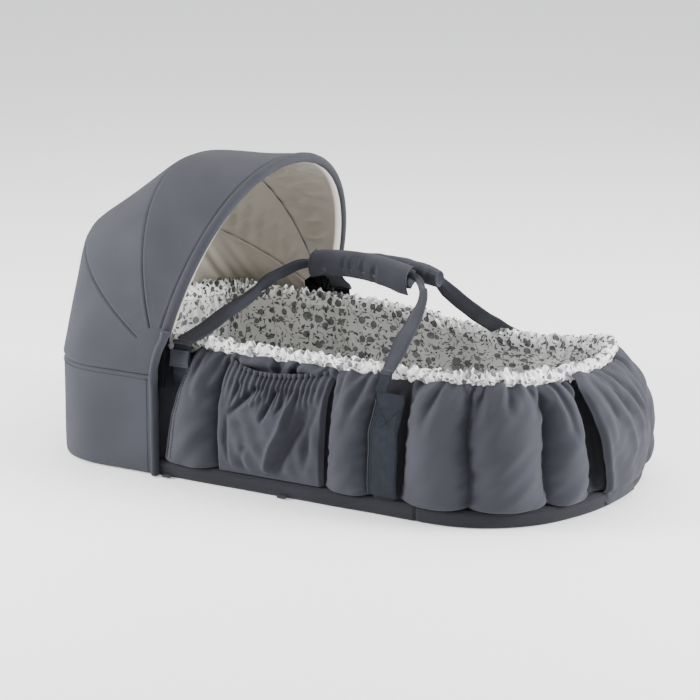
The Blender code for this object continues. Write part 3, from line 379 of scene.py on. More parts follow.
def stitches(name, line, away, stitch=0.0030, space=0.0014, radius=0.00042, lift=0.0003):
    """Row of sewn stitches along a line; away is the outward direction at each point of it."""
    line = np.asarray(line, float)
    away = np.broadcast_to(np.asarray(away, float), line.shape)
    run = run_along(line)
    rings = len(STITCH_BULGE)
    ends = np.linspace(0, 1, rings)
    turn = around_turn(STITCH_AROUND)
    size = rings * STITCH_AROUND
    shell = quad_grid(rings, STITCH_AROUND, closed_v=True, flip=True).tolist()
    shell += [list(range(STITCH_AROUND - 1, -1, -1)), list(range(size - STITCH_AROUND, size))]
    rise = lift * np.sin(math.pi * ends)[:, None] + radius * 0.3
    points, faces = [], []
    for number, place in enumerate(np.arange(space, run[-1] - stitch, stitch + space)):
        middle, out = (np.stack([np.interp(place + ends * stitch, run, rows[:, k]) for k in range(3)], axis=1)
                       for rows in (line, away))
        out = unit(out)
        side = unit(np.cross(middle[-1] - middle[0], out))
        points.append(middle[:, None, :] + out[:, None, :] * (rise + radius * STITCH_BULGE * np.sin(turn))[..., None]
                      + side[:, None, :] * (radius * STITCH_BULGE * np.cos(turn))[..., None])
        faces += [[number * size + k for k in face] for face in shell]
    return build(name, points, faces) if faces else None


def join(name, pieces):
    """One object from several meshes that share a material."""
    points, faces = [], []
    for piece in filter(None, pieces):
        first = len(points)
        points += [tuple(v.co) for v in piece.data.vertices]
        faces += [[first + k for k in face.vertices] for face in piece.data.polygons]
        bpy.data.objects.remove(piece, do_unlink=True)
    return build(name, points, faces)


# Materials
def plug(tree, socket, value):
    """Links a socket given as the value, or else sets the value."""
    if isinstance(value, bpy.types.NodeSocket):
        tree.links.new(value, socket)
    else:
        socket.default_value = value


def node(tree, kind, settings=None, **inputs):
    """Adds a node; an input given as a socket is linked, anything else is its value."""
    made = tree.nodes.new("ShaderNode" + kind)
    for key, value in (settings or {}).items():
        setattr(made, key, value)
    for key, value in inputs.items():
        numbered = key[0] == "i" and key[1:].isdigit()
        plug(tree, made.inputs[int(key[1:]) if numbered else key.replace("_", " ")], value)
    return made


def math_node(tree, operation, *values):
    made = tree.nodes.new("ShaderNodeMath")
    made.operation = operation
    for k, value in enumerate(values):
        plug(tree, made.inputs[k], value)
    return made.outputs[0]


def mixed(tree, share, first, second):
    """Colour between two colours."""
    made = tree.nodes.new("ShaderNodeMix")
    made.data_type = "RGBA"
    for k, value in ((0, share), (6, first), (7, second)):
        plug(tree, made.inputs[k], (*value, 1.0) if isinstance(value, tuple) else value)
    return made.outputs[2]


def ramp(tree, value, low, high, start=0.0, end=1.0):
    made = tree.nodes.new("ShaderNodeMapRange")
    made.interpolation_type = "SMOOTHSTEP"
    for k, given in enumerate((value, low, high, start, end)):
        plug(tree, made.inputs[k], given)
    return made.outputs[0]


def new_material(name, roughness, sheen=0.0, metallic=0.0, specular=0.5):
    material = bpy.data.materials.new(name)
    material.use_nodes = True
    tree = material.node_tree
    shader = tree.nodes["Principled BSDF"]
    for socket, value in (("Roughness", roughness), ("Sheen Weight", sheen), ("Metallic", metallic),
                          ("Specular IOR Level", specular)):
        shader.inputs[socket].default_value = value
    return material, tree, shader


def cloth_space(tree, with_uv):
    """Coordinates in metres of cloth: the mesh's own layout, or the object's space."""
    if with_uv:
        return node(tree, "UVMap", {"uv_map": "cloth"}).outputs[0]
    return node(tree, "TexCoord").outputs["Object"]


def noise(tree, where, scale, detail, **more):
    return node(tree, "TexNoise", None, Vector=where, Scale=scale, Detail=detail, **more).outputs["Fac"]


def bands(tree, where, direction, pitch, **more):
    """Light and dark bands this far apart."""
    return node(tree, "TexWave", {"wave_type": "BANDS", "bands_direction": direction}, Vector=where,
                Scale=0.314159 / pitch, **more).outputs["Fac"]


def bumpy(tree, shader, *layers):
    """Surface relief from (height, strength, depth in metres), the broad layer first."""
    under = {}
    for height, strength, depth in layers:
        made = node(tree, "Bump", None, Strength=strength, Distance=depth, Height=height, **under)
        under = {"Normal": made.outputs[0]}
    tree.links.new(made.outputs[0], shader.inputs["Normal"])


def tint(colour, factor, plus=0.0):
    return tuple(min(1.0, c * factor + plus) for c in colour)


def weave_height(tree, where, thread):
    """Plain weave: threads over and under each other, this far apart."""
    halves = [math_node(tree, "MULTIPLY", bands(tree, where, way, thread), 0.5) for way in ("X", "Y")]
    return math_node(tree, "ADD", *halves)


def woven(name, colour, thread=0.0007, melange=0.10, patch=0.06, roughness=0.85, sheen=0.04, weave=0.00022,
          crinkle=0.0006, crinkle_size=0.012, with_uv=True, lighter=1.45):
    """Woven cloth: threads, flecks of lighter yarn, soft uneven colour and fine crinkles."""
    material, tree, shader = new_material(name, roughness, sheen, specular=0.22)
    where = cloth_space(tree, with_uv)
    threads = weave_height(tree, where, thread)
    flecks = noise(tree, where, 0.55 / thread, 1.0, Roughness=0.7)
    cloudy = noise(tree, where, 9.0, 2.0, Roughness=0.55)
    base = mixed(tree, ramp(tree, cloudy, 0.3, 0.7), tint(colour, 1 - patch * 2.2), tint(colour, 1 + patch * 2.2))
    flecked = mixed(tree, ramp(tree, flecks, 0.50, 0.78, 0.0, melange * 4), base, tint(colour, lighter))
    shaded = mixed(tree, ramp(tree, threads, 0.0, 0.55, 0.45, 0.0), flecked, tint(colour, 0.55))
    tree.links.new(shaded, shader.inputs["Base Color"])
    rough = ramp(tree, flecks, 0.3, 0.8, roughness - 0.06, min(1.0, roughness + 0.08))
    tree.links.new(rough, shader.inputs["Roughness"])
    creases = noise(tree, where, 0.16 / crinkle_size, 1.5, Roughness=0.5)
    bumpy(tree, shader, (creases, 1.0, crinkle), (threads, 0.7, weave))
    return material


def ribbed_webbing(name, colour, rib=0.0016, pick=0.0009):
    """Woven strap: ribs along its length crossed by fine picks, worn lighter in places."""
    material, tree, shader = new_material(name, 0.74, 0.02, specular=0.16)
    where = cloth_space(tree, True)
    ribs = bands(tree, where, "X", rib, Distortion=0.15)
    picks = bands(tree, where, "Y", pick, Distortion=0.5, Detail=1.0)
    worn = noise(tree, where, 60.0, 4.0, Roughness=0.6)
    base = mixed(tree, ramp(tree, worn, 0.35, 0.75), colour, tint(colour, 1.5))
    # Darker between the ribs: painted shade in the grooves.
    base = mixed(tree, ramp(tree, ribs, 0.0, 0.5, 0.6, 0.0), base, tint(colour, 0.6))
    tree.links.new(base, shader.inputs["Base Color"])
    height = math_node(tree, "ADD", math_node(tree, "MULTIPLY", ribs, 0.7), math_node(tree, "MULTIPLY", picks, 0.3))
    bumpy(tree, shader, (height, 0.9, 0.0004))
    return material


# (pitch, offset, half length, half width, bend, share of cells, ink) of each kind of stroke in the print
PRINT_STROKES = (
    (0.0118, (0.05, 0.23, 0.0), 0.0050, 0.00050, 70.0, 0.85, (0.040, 0.040, 0.043)),
    (0.0150, (0.41, 0.07, 0.0), 0.0066, 0.00062, -48.0, 0.75, (0.075, 0.075, 0.078)),
    (0.0094, (0.19, 0.31, 0.0), 0.0030, 0.00120, 20.0, 0.55, (0.110, 0.110, 0.112)),
    (0.0131, (0.29, 0.53, 0.0), 0.0040, 0.00170, -30.0, 0.45, (0.045, 0.045, 0.048)),
)
DARK_INK = (0.030, 0.030, 0.032)


def printed_cotton(name, with_uv=True, lit_paleness=0.0):
    """Off-white cotton with a scattered print of grey rings, dots and short curved strokes."""
    material, tree, shader = new_material(name, 0.88, 0.15)
    where = cloth_space(tree, with_uv)
    threads = weave_height(tree, where, 0.0006)

    def op(kind, *values):
        return math_node(tree, kind, *values)

    def times(a, b):
        return op("MULTIPLY", a, b)

    def vector(kind, a, b):
        return node(tree, "VectorMath", {"operation": kind}, i0=a, i1=b).outputs[0]

    def below(value, low, high):
        return ramp(tree, value, low, high, 1.0, 0.0)

    def cells(pitch, randomness, offset):
        """Shifted place, its cell and two random numbers of that cell."""
        shift = vector("ADD", where, offset)
        found = node(tree, "TexVoronoi", {"voronoi_dimensions": "2D"}, Vector=shift, Scale=1 / pitch,
                     Randomness=randomness)
        chance = node(tree, "SeparateColor", None, Color=found.outputs["Color"])
        return shift, found, chance.outputs[0], chance.outputs[1]

    # On the frill the paleness setting lifts the ground colour: painted light on the same printed cotton.
    ground = mixed(tree, ramp(tree, noise(tree, where, 14.0, 4.0), 0.3, 0.7),
                   tuple(c + 0.5 * lit_paleness for c in (0.54, 0.545, 0.53)),
                   tuple(c + 0.5 * lit_paleness for c in (0.68, 0.685, 0.67)))
    # Filled discs with a darker rim, in part of the cells
    _, found, size, pick = cells(0.0175, 0.85, (0.0, 0.0, 0.0))
    away = op("SUBTRACT", found.outputs["Distance"], op("ADD", times(size, 0.14), 0.17))
    chosen = op("GREATER_THAN", pick, 0.12)
    rim = times(below(op("ABSOLUTE", op("ADD", away, 0.02)), 0.014, 0.034), chosen)
    hatch = bands(tree, where, "DIAGONAL", 0.0016, Distortion=2.5, Detail=2.0)
    fill = mixed(tree, hatch, (0.055, 0.056, 0.058), (0.17, 0.17, 0.17))
    inked = mixed(tree, times(below(away, -0.012, 0.016), chosen), ground, fill)
    inked = mixed(tree, rim, inked, DARK_INK)
    # Small dots between
    _, found, _, pick = cells(0.0098, 0.95, (0.37, 0.11, 0.0))
    dot = times(below(op("SUBTRACT", found.outputs["Distance"], 0.145), -0.01, 0.03), op("GREATER_THAN", pick, 0.40))
    inked = mixed(tree, dot, inked, DARK_INK)
    # Short curved strokes and pointed grains, each in the middle of its own cell
    for pitch, offset, length, width, bend, share, ink in PRINT_STROKES:
        shift, found, chance, pick = cells(pitch, 0.9, offset)
        parts = node(tree, "SeparateXYZ", None, Vector=vector("SUBTRACT", shift, found.outputs["Position"]))
        x, y = parts.outputs[0], parts.outputs[1]
        turn = times(chance, 2 * math.pi)
        cos, sin = op("COSINE", turn), op("SINE", turn)
        along = op("ADD", times(x, cos), times(y, sin))
        away = op("SUBTRACT", times(y, cos), times(x, sin))
        square = times(along, along)
        curve = op("ABSOLUTE", op("SUBTRACT", away, times(square, bend)))
        reach = op("SUBTRACT", curve, op("ADD", times(square, -width / length ** 2), width))
        stroke = times(below(reach, -0.00012, 0.00022), op("LESS_THAN", pick, share))
        inked = mixed(tree, stroke, inked, ink)
    # Print worn thin in places; on the frill the near side (negative y) is paled further as a painted highlight, and
    # the far side, in shade, keeps the full print
    worn_and_lit_print = mixed(tree, ramp(tree, noise(tree, where, 90.0, 2.0), 0.3, 0.8, 0.0, 0.22), inked,
                  tuple(c + 1.2 * lit_paleness for c in (0.58, 0.585, 0.57)))
    if lit_paleness:
        side = node(tree, "SeparateXYZ", None, Vector=cloth_space(tree, False)).outputs[1]
        worn_and_lit_print = mixed(tree, below(side, -0.06, 0.12), inked, worn_and_lit_print)
    tree.links.new(worn_and_lit_print, shader.inputs["Base Color"])
    creases = noise(tree, where, 34.0, 4.0, Roughness=0.6, Distortion=1.0)
    bumpy(tree, shader, (creases, 1.0, 0.0013), (threads, 0.6, 0.00018))
    return material


def moulded(name, colour, roughness=0.42, specular=0.25):
    """Moulded plastic with a fine grain and slight scuffs."""
    material, tree, shader = new_material(name, roughness, specular=specular)
    where = cloth_space(tree, False)
    scuffs = noise(tree, where, 120.0, 5.0, Roughness=0.7)
    scuffed = mixed(tree, ramp(tree, scuffs, 0.55, 0.8), colour, tint(colour, 1.6, 0.004))
    tree.links.new(scuffed, shader.inputs["Base Color"])
    tree.links.new(ramp(tree, scuffs, 0.3, 0.8, roughness - 0.08, roughness + 0.18), shader.inputs["Roughness"])
    bumpy(tree, shader, (noise(tree, where, 1600.0, 2.0), 0.5, 0.0001))
    return material


def metal(name, colour, roughness=0.28):
    """Bright steel, brushed by handling."""
    material, tree, shader = new_material(name, roughness, metallic=1.0)
    marks = noise(tree, cloth_space(tree, False), 700.0, 4.0, Distortion=2.0)
    tree.links.new(mixed(tree, marks, colour, tint(colour, 1.25)), shader.inputs["Base Color"])
    tree.links.new(ramp(tree, marks, 0.2, 0.8, roughness - 0.08, roughness + 0.15), shader.inputs["Roughness"])
    bumpy(tree, shader, (marks, 0.3, 0.00005))
    return material


def fibrous(name, colour, size, depth):
    """Board or tape pile: a loose random grain."""
    material, tree, shader = new_material(name, 0.95)
    grain = noise(tree, cloth_space(tree, False), 1 / size, 6.0, Roughness=0.7)
    tree.links.new(mixed(tree, ramp(tree, grain, 0.3, 0.7), tint(colour, 0.75), colour), shader.inputs["Base Color"])
    bumpy(tree, shader, (grain, 0.8, depth))
    return material


SLATE = (0.0322, 0.0327, 0.0418)
slate = woven("slate_cloth_woven", SLATE)
slate_hood = woven("slate_cloth_hood", SLATE, melange=0.16, crinkle=0.0004, crinkle_size=0.03)
dark_band = woven("base_band_cloth", (0.0135, 0.0138, 0.0178), melange=0.08, with_uv=False)
strap_cloth = woven("strap_cloth", (0.0270, 0.0282, 0.0370), thread=0.0006, crinkle=0.0003, crinkle_size=0.006)
webbing = ribbed_webbing("strap_webbing", (0.0098, 0.0120, 0.0180))
cotton = printed_cotton("printed_cotton_rings")
# The frill's paleness setting paints light: a lifted ground and a painted highlight on its near side.
frill_cotton = printed_cotton("printed_cotton_frill", lit_paleness=0.30)
beige = woven("beige_satin", (0.465, 0.427, 0.373), thread=0.0005, melange=0.05, patch=0.03, roughness=0.42,
              sheen=0.10, weave=0.00008, crinkle=0.0012, crinkle_size=0.016, lighter=1.15)
# Near-black cloth for wall channels that lie in recesses: painted shade on the slate wall cloth.
painted_shade_cloth = woven("painted_shade_channel_cloth", (0.0120, 0.0122, 0.0155))
thread = woven("sewing_thread", (0.022, 0.023, 0.029), thread=0.0004, melange=0.05, with_uv=False,
               crinkle=0.0001)
tape_pile = fibrous("tape_pile", (0.055, 0.058, 0.068), size=0.0009, depth=0.0006)
tape_hooks = moulded("tape_hooks", (0.045, 0.048, 0.056), 0.5)
bow_plastic = moulded("bow_plastic_grained", (0.003, 0.003, 0.004), 0.8, 0.06)
rivet_steel = metal("rivet_steel_brushed", (0.60, 0.60, 0.62))
board_fibre = fibrous("board_fibre", (0.30, 0.25, 0.19), size=0.003, depth=0.0003)


def finish(piece, material, body="nest", replaced=()):
    """Gives a piece its material and the body that it rides on."""
    piece.data.materials.clear()
    piece.data.materials.append(material)
    if body:
        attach(piece, body)
    if replaced:
        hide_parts(*replaced)
    return piece


def hang(piece, first, second, weights):
    """Cloth across a joint: each point turns by its weight."""
    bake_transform(piece, first, second, start=(0, 0, 0), end=(0, 0, 1))
    layer = piece.data.attributes["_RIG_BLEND"]
    layer.data.foreach_set("value", np.asarray(weights, np.float32).reshape(-1))


def cloth_piece(name, points, uv, thickness, material, slot, cad, body="nest", joint=None, flip=False, offset=-1.0):
    """Sheet of cloth over a grid; joint is (first body, second body, weights) where it crosses one."""
    piece = grid_object(name, points, uv, flip)
    if joint:
        hang(piece, *joint)
    thicken(piece, thickness, offset)
    refine(piece)
    return finish(piece, material, body=None if joint else body, replaced=(cad,))


# Rim: the wall's top is drawn in by elastic and isn't level
NEAR_RIM_LIFT = ((0.366, 0.001), (0.340, 0.004), (0.300, 0.008), (0.240, 0.008), (0.170, 0.005), (0.000, 0.005),
                 (-0.120, 0.004), (-0.377, 0.0))
FAR_RIM_LIFT = ((0.340, -0.001), (0.300, -0.005), (0.260, -0.013), (0.210, -0.0195), (0.174, -0.022),
                (0.134, -0.023), (0.080, -0.0195), (0.045, -0.0145), (0.015, -0.009), (-0.050, -0.004),
                (-0.200, -0.002), (-0.377, 0.0))


def rim_lift(u, z):
    u, z = np.broadcast_arrays(np.asarray(u, float), np.asarray(z, float))
    x = np.interp(np.abs(u), DISTANCE, ROWS[:, 0])
    near = np.interp(-x, [-p[0] for p in NEAR_RIM_LIFT], [p[1] for p in NEAR_RIM_LIFT])
    far = np.interp(-x, [-p[0] for p in FAR_RIM_LIFT], [p[1] for p in FAR_RIM_LIFT])
    return np.where(u >= 0, near, far) * smooth(0.095, RIM_Z, z)


def profile(points, spacing):
    """Offsets and heights evenly spaced on a smooth line through (offset, z) points."""
    line = along_path([(offset, z, 0.0) for offset, z in points], spacing)
    run = np.concatenate([[0.0], np.cumsum(np.hypot(*np.diff(line[:, :2], axis=0).T))])
    return line[:, 0], line[:, 1], run


# Outer wall: channels of cloth stuffed between seams, pleated where the rim draws them in
COVER_LINE = ((-0.0060, 0.0202), (0.0030, 0.0192), (0.0100, 0.0262), (0.0132, 0.0470), (0.0134, 0.0760),
              (0.0092, 0.1040), (0.0012, 0.1245), (-0.0100, 0.1410), (-0.0230, 0.1528), (-0.0370, 0.1590))
SEAM_HEIGHTS = (0.0190, 0.0300, 0.0500, 0.0800, 0.1150, 0.1400, 0.1590)
SEAM_DEPTHS = (0.0120, 0.0205, 0.0280, 0.0325, 0.0315, 0.0230, 0.0090)
HEAD_EDGE_X = -0.1545
HEAD_EDGE = ((0.020, -0.1690), (0.055, -0.1640), (0.085, -0.1585), (0.109, -0.1520), (0.128, -0.1465),
             (0.144, -0.1420), (0.159, -0.1380))
SEAT_HEIGHTS = (0.0223, 0.0412, 0.0708, 0.1058, 0.1354, 0.157)
WRAPPED_OFFSETS = (0.0, -0.0005, -0.0015, -0.007, -0.01786, -0.038)


def channel_list(side):
    """(start, end, kind) of the channels from the foot's middle to the hidden head end."""
    middle = (at_x(MIDDLE_PAD_START_X) + at_x(POCKET_END_X)) / 2
    edges = [(FOOT_PANEL_HALF, "pad"), (FOOT_PANEL_HALF + FOOT_PAD_WIDTHS[0], "pad"),
             (FOOT_PANEL_HALF + sum(FOOT_PAD_WIDTHS), "pad"), (at_x(SIDE_PAD_START_X), "strap"),
             (at_x(2 * FOOT_WEBBING_X - SIDE_PAD_START_X), "pad"),
             (at_x(MIDDLE_PAD_START_X), "pocket" if side > 0 else "pad"),
             (middle, "pocket" if side > 0 else "pad"), (at_x(POCKET_END_X), "pad"),
             (at_x(HEAD_EDGE_X), "hidden"), (HALF_GIRTH, "")]
    return [(a[0], b[0], a[1]) for a, b in zip(edges, edges[1:])]


def edge_line(u, height):
    """Where the seam that starts at distance u runs at each height: it wanders, and the head pad's slants."""
    if abs(abs(u) - at_x(HEAD_EDGE_X)) < 1e-6:
        x = np.interp(height, *zip(*HEAD_EDGE))
        return np.sign(u) * np.interp(-x, -ROWS[STRAIGHT, 0], DISTANCE[STRAIGHT])
    straight = [at_x(x) for x in (SIDE_PAD_START_X, 2 * FOOT_WEBBING_X - SIDE_PAD_START_X, MIDDLE_PAD_START_X,
                                  POCKET_END_X)]
    if min(abs(abs(u) - place) for place in straight) < 1e-6 or abs(u) > HALF_GIRTH - 1e-6:
        return u + 0 * height
    return u + 0.0042 * np.sin(38 * height + 41 * u) * np.sin(np.pi * np.clip((height - 0.019) / 0.14, 0, 1))


def pleats(s, width, back, seed, count, deep=0.0065):
    """Short sharp folds that run down from the rim; back is the distance below the rim."""
    rng = np.random.default_rng(seed)
    total = np.zeros(np.broadcast(s, back).shape)
    for number in range(count):
        place = (number + 0.5 + rng.uniform(-0.28, 0.28)) / count
        length = rng.uniform(0.046, 0.088)
        lean = rng.uniform(-0.26, 0.26)
        narrow = rng.uniform(0.0026, 0.0040)
        away = (s - place) * width - lean * back
        spread = narrow * (1 + 0.8 * back / length)
        fade = np.clip(1 - back / length, 0, 1) ** 0.6
        total -= deep * rng.uniform(0.7, 1.15) * bell(away, spread) * fade
        total += 0.30 * deep * np.exp(-((np.abs(away) - 2.4 * spread) / (1.3 * spread)) ** 2) * fade
    return total


def cut_and_held(points, s, width, gather, run):
    """The patch as it was cut flat, and 1 along its four sewn sides."""
    flat = np.zeros(points.shape)
    flat[..., 0] = (s - 0.5) * width * gather[None, :]
    flat[..., 1] = 1.03 * run[None, :]
    sewn = np.zeros(points.shape[:2])
    sewn[[0, -1], :] = 1
    sewn[:, [0, -1]] = 1
    return flat, sewn


HIDDEN_STEP = 0.008
POCKET_HIDES_BELOW = 0.142


def wall_patch(start, end, kind, seed):
    """One channel as (points, cut, sewn) with outward faces; start > end on the near side."""
    offset, height, run = profile(COVER_LINE, STEP)
    width = abs(start - end)
    count = max(5, int(round(width / (HIDDEN_STEP if kind == "hidden" else ACROSS_STEP)))) + 1
    s = np.linspace(0, 1, count)[:, None]
    first, last = edge_line(start, height)[None, :], edge_line(end, height)[None, :]
    u = first + (last - first) * s
    z = height[None, :]
    back = run[-1] - run[None, :]
    seam = offset - np.interp(height, SEAM_HEIGHTS, SEAM_DEPTHS)
    round_over = hump(s, 0.60)
    floor = seated(height, 0.35) - 0.0012
    if kind == "pad":
        out = seam[None, :] + (offset - seam)[None, :] * round_over
        out = out + 0.0013 * ripple(u, z, seed + 200, 4, 0.040, slant=0.9) * round_over
        from_seam = np.minimum(s, 1 - s) * width
        out = out + 0.0016 * ripple(z + 0 * u, u, seed + 300, 4, 0.019, slant=0.35) \
            * bell(from_seam - 0.006, 0.009) * smooth(0.019, 0.034, z)
    elif kind == "panel":
        out = seam[None, :] + (offset - seam)[None, :] * smooth(0.10, 0.30, s) * smooth(0.90, 0.70, s)
    elif kind == "pocket":
        shown = smooth(POCKET_HIDES_BELOW, 0.156, height)[None, :]
        behind = offset - np.maximum(offset - seam, 0.0125)
        out = seam[None, :] + (offset - seam)[None, :] * round_over * shown \
            + (behind - seam)[None, :] * (1 - shown)
    else:
        inside = smooth(0.0, 0.17, s) * (smooth(1.0, 0.83, s) if kind == "strap" else 1.0)
        if kind == "hidden":
            floor = floor - 0.0130
        out = seam[None, :] + (np.minimum(floor, offset) - seam)[None, :] * inside
    if kind in ("pad", "pocket", "panel"):
        count = max(2, int(round(width / 0.032)))
        out = out + pleats(s, width, back, seed, count, 0.0100) * hump(s, 0.25)
    wrapped = np.interp(height, SEAT_HEIGHTS, WRAPPED_OFFSETS)[None, :] - 0.0012
    covered = smooth(at_x(WRAP_EDGE_X + 0.0056), at_x(WRAP_EDGE_X - 0.0009), np.abs(u))
    out = out * (1 - covered) + wrapped * covered
    high = z + 0.0020 * ripple(u, 0 * u, 5, 4, 0.030) * smooth(0.14, RIM_Z, z) + rim_lift(u, z)
    high = high + 0.0050 * (1 - round_over if kind == "pad" else 0.4) * smooth(0.034, 0.019, z)
    points = on_wall(u, out, high)
    gather = 1.06 + 0.24 * smooth(0.60, 1.0, run / run[-1])
    flat, sewn = cut_and_held(points, s, width, gather, run)
    if kind in ("strap", "hidden"):
        sewn[:] = 1
        flat = points.copy()
    if kind == "pocket":
        sewn[:, height < POCKET_HIDES_BELOW] = 1
    return points, flat, sewn


def seated(z, level):
    """Offset of the wall behind a strap or pocket."""
    offset = np.interp(z, SEAT_HEIGHTS, (0.0, 0.00765, 0.009, 0.0054, -0.01064, -0.038))
    depth = np.interp(z, SEAT_HEIGHTS, (0, 0.7, 1.0, 1.0, 0.8, 0.3))
    return offset - CHANNEL_DEPTH * depth * (1 - level)


wall_plan = [(end, start, kind) for start, end, kind in reversed(channel_list(1))]
wall_plan += [(FOOT_PANEL_HALF, -FOOT_PANEL_HALF, "panel")]
wall_plan += [(-start, -end, kind) for start, end, kind in channel_list(-1)]
wall_patches = [wall_patch(*channel, seed=20 + k) for k, channel in enumerate(wall_plan)]

# Lining: the same wall seen from inside, quilted at even steps
LINING_LINE = ((-0.0370, 0.0090), (-0.0400, 0.0250), (-0.0415, 0.0457), (-0.0425, 0.0760), (-0.0435, 0.1060),
               (-0.0455, 0.1347), (-0.0480, 0.1480), (-0.0475, 0.1560))
LINING_PUFF = 0.0105
LINING_NARROWER = 1 - 0.041 / 0.33
quilt_count = int(round(2 * HALF_GIRTH / LINING_QUILT_PITCH))


def lining_patch(number):
    offset, height, run = profile(LINING_LINE, 0.0042)
    step = 2 * HALF_GIRTH / quilt_count
    start = -HALF_GIRTH + step * number
    s = np.linspace(0, 1, int(round(step / 0.0044)) + 1)[:, None]
    u = start + step * s
    z = height[None, :]
    back = run[-1] - run[None, :]
    puff = LINING_PUFF * hump(s, 0.55) * np.interp(height, (0.009, 0.045, 0.062, 0.13, 0.156),
                                                              (0.05, 0.30, 1.0, 0.95, 0.30))[None, :]
    out = offset[None, :] - puff - pleats(s, step, back, 90 + number, 4, 0.0055) * hump(s, 0.3)
    points = on_wall(u, out, z + rim_lift(u, z))
    gather = 1.05 + 0.16 * smooth(0.55, 1.0, run / run[-1])
    flat, sewn = cut_and_held(points, s, step, gather, run)
    flat[..., 0] *= LINING_NARROWER
    return points, flat, sewn


lining_patches = [lining_patch(number) for number in range(quilt_count)]
settled = settle(wall_patches + lining_patches)


def ring_of(patches):
    """Patches side by side as one ring, without the columns that they share."""
    return np.concatenate([patches[0]] + [patch[1:] for patch in patches[1:]])[:-1]


def closed_ring(name, face, back):
    """Closed ring of cloth: the seen face, then the hidden back, joined at top and bottom."""
    points = np.concatenate([face, back], axis=1)
    nu, nv = points.shape[:2]
    around = run_along(np.vstack([face[:, 0], face[:1, 0]]))
    rise = run_along(np.concatenate([points, points[:, :1]], axis=1)[nu // 2])
    i, k = np.meshgrid(np.arange(nu), np.arange(nv), indexing="ij")
    corners = [(around[i + a], rise[k + b]) for a, b in ((0, 0), (1, 0), (1, 1), (0, 1))]
    uv = np.stack([np.stack(pair, axis=-1) for pair in corners], axis=2)
    return build(name, points, quad_grid(nu, nv, True, True).tolist(), uv)


WALL_BACK = ((-0.0400, 0.1545), (-0.0385, 0.1440), (-0.0370, 0.1100), (-0.0350, 0.0650), (-0.0300, 0.0300),
             (-0.0200, 0.0226))
LINING_BACK = ((-0.0450, 0.1565), (-0.0430, 0.1450), (-0.0412, 0.1060), (-0.0402, 0.0650), (-0.0385, 0.0300),
               (-0.0358, 0.0098))


def back_of(plan_u, line):
    """Hidden rows of a ring, at (offset, z) places."""
    offsets = np.array([p[0] for p in line])[None, :]
    heights = np.array([p[1] for p in line])[None, :]
    return on_wall(plan_u[:, None], offsets, heights + rim_lift(plan_u[:, None], heights) * 0.9)


wall_u = ring_of([start + (end - start) * np.linspace(0, 1, patch.shape[0])
                  for (start, end, _), patch in zip(wall_plan, settled)])
wall_face = ring_of(settled[:len(wall_plan)])
outer_wall = closed_ring("outer_wall_channels", wall_face, back_of(wall_u, WALL_BACK))
refine(outer_wall)
finish(outer_wall, slate, replaced=("outer_cover", "wall_wadding"))
# Faces of the channels behind the straps, under the head wrap and behind the foot panel take the near-black cloth:
# painted shade in these recesses.
outer_wall.data.materials.append(painted_shade_cloth)
painted_shade_columns = []
for (_, _, kind), patch in zip(wall_plan, settled):
    painted_shade_columns += [kind in ("strap", "hidden", "panel")] * (patch.shape[0] - 1)
rows_round = wall_face.shape[1] + len(WALL_BACK)
for face in outer_wall.data.polygons:
    if painted_shade_columns[min(face.index // rows_round, len(painted_shade_columns) - 1)]:
        face.material_index = 1

# Piping and stitches on the slanted edge of each head pad
for patch, label in ((settled[1], "near"), (settled[len(wall_plan) - 2][::-1], "far")):
    rising = slice(6, int(patch.shape[1] * 0.80))
    outward = unit(np.cross(np.gradient(patch, axis=0), np.gradient(patch, axis=1)))
    outward *= np.sign(np.sum(outward * (patch - patch.mean(axis=(0, 1)) * [1, 0, 1]), axis=-1, keepdims=True))
    edge_piping = round_tube(f"{label}_head_pad_piping", patch[3, rising] + outward[3, rising] * 0.0003, 0.0015, 10,
                             up=(0.3, 0.9, 0.1))
    finish(edge_piping, slate)
    edge_seam = stitches(f"{label}_head_pad_stitches", patch[6, rising] + outward[6, rising] * 0.0003,
                         outward[6, rising], 0.0028, 0.0014, radius=0.0006)
    finish(edge_seam, thread)

lining_face = ring_of(settled[len(wall_plan):])
lining_u = ring_of([np.linspace(-HALF_GIRTH + 2 * HALF_GIRTH * n / quilt_count,
                                -HALF_GIRTH + 2 * HALF_GIRTH * (n + 1) / quilt_count, patch.shape[0])
                    for n, patch in enumerate(settled[len(wall_plan):])])
inner_wall = closed_ring("inner_lining_quilted", lining_face, back_of(lining_u, LINING_BACK))
refine(inner_wall)
finish(inner_wall, cotton, replaced=("inner_lining", "rim_elastic"))

# Gathered frill on the rim
RUFFLE_LINE = ((-0.0405, 0.1535), (-0.0378, 0.1585), (-0.0368, 0.1640), (-0.0384, 0.1686), (-0.0420, 0.1706),
               (-0.0470, 0.1690), (-0.0512, 0.1640), (-0.0528, 0.1585), (-0.0520, 0.1530))
ruffle_offset, ruffle_height, ruffle_run = profile(RUFFLE_LINE, 0.0016)
places = np.linspace(HALF_GIRTH, -HALF_GIRTH, 2400, endpoint=False)[:, None]
share = (ruffle_run / ruffle_run[-1])[None, :]
loose = hump(share, 0.6)
crumple = (-0.0012 * crease(places, ruffle_run[None, :], 41, 5, 0.0125, slant=0.35)
           + 0.0016 * crease(places, ruffle_run[None, :], 42, 4, 0.0080, slant=-0.40)
           + 0.0014 * ripple(places, ruffle_run[None, :], 43, 4, 0.0200))
lip = 0.0022 * np.abs(ripple(places, 0 * share, 44, 4, 0.030)) ** 1.3 \
    * smooth(0.15, 0.5, share) * smooth(0.85, 0.5, share)
pinch = np.cos(np.pi * share)
offsets = ruffle_offset[None, :] + crumple * loose * np.sign(pinch) * np.abs(pinch) ** 0.4
heights = ruffle_height[None, :] + (crumple * 0.9 + lip) * loose * (1 - 0.4 * np.abs(pinch))
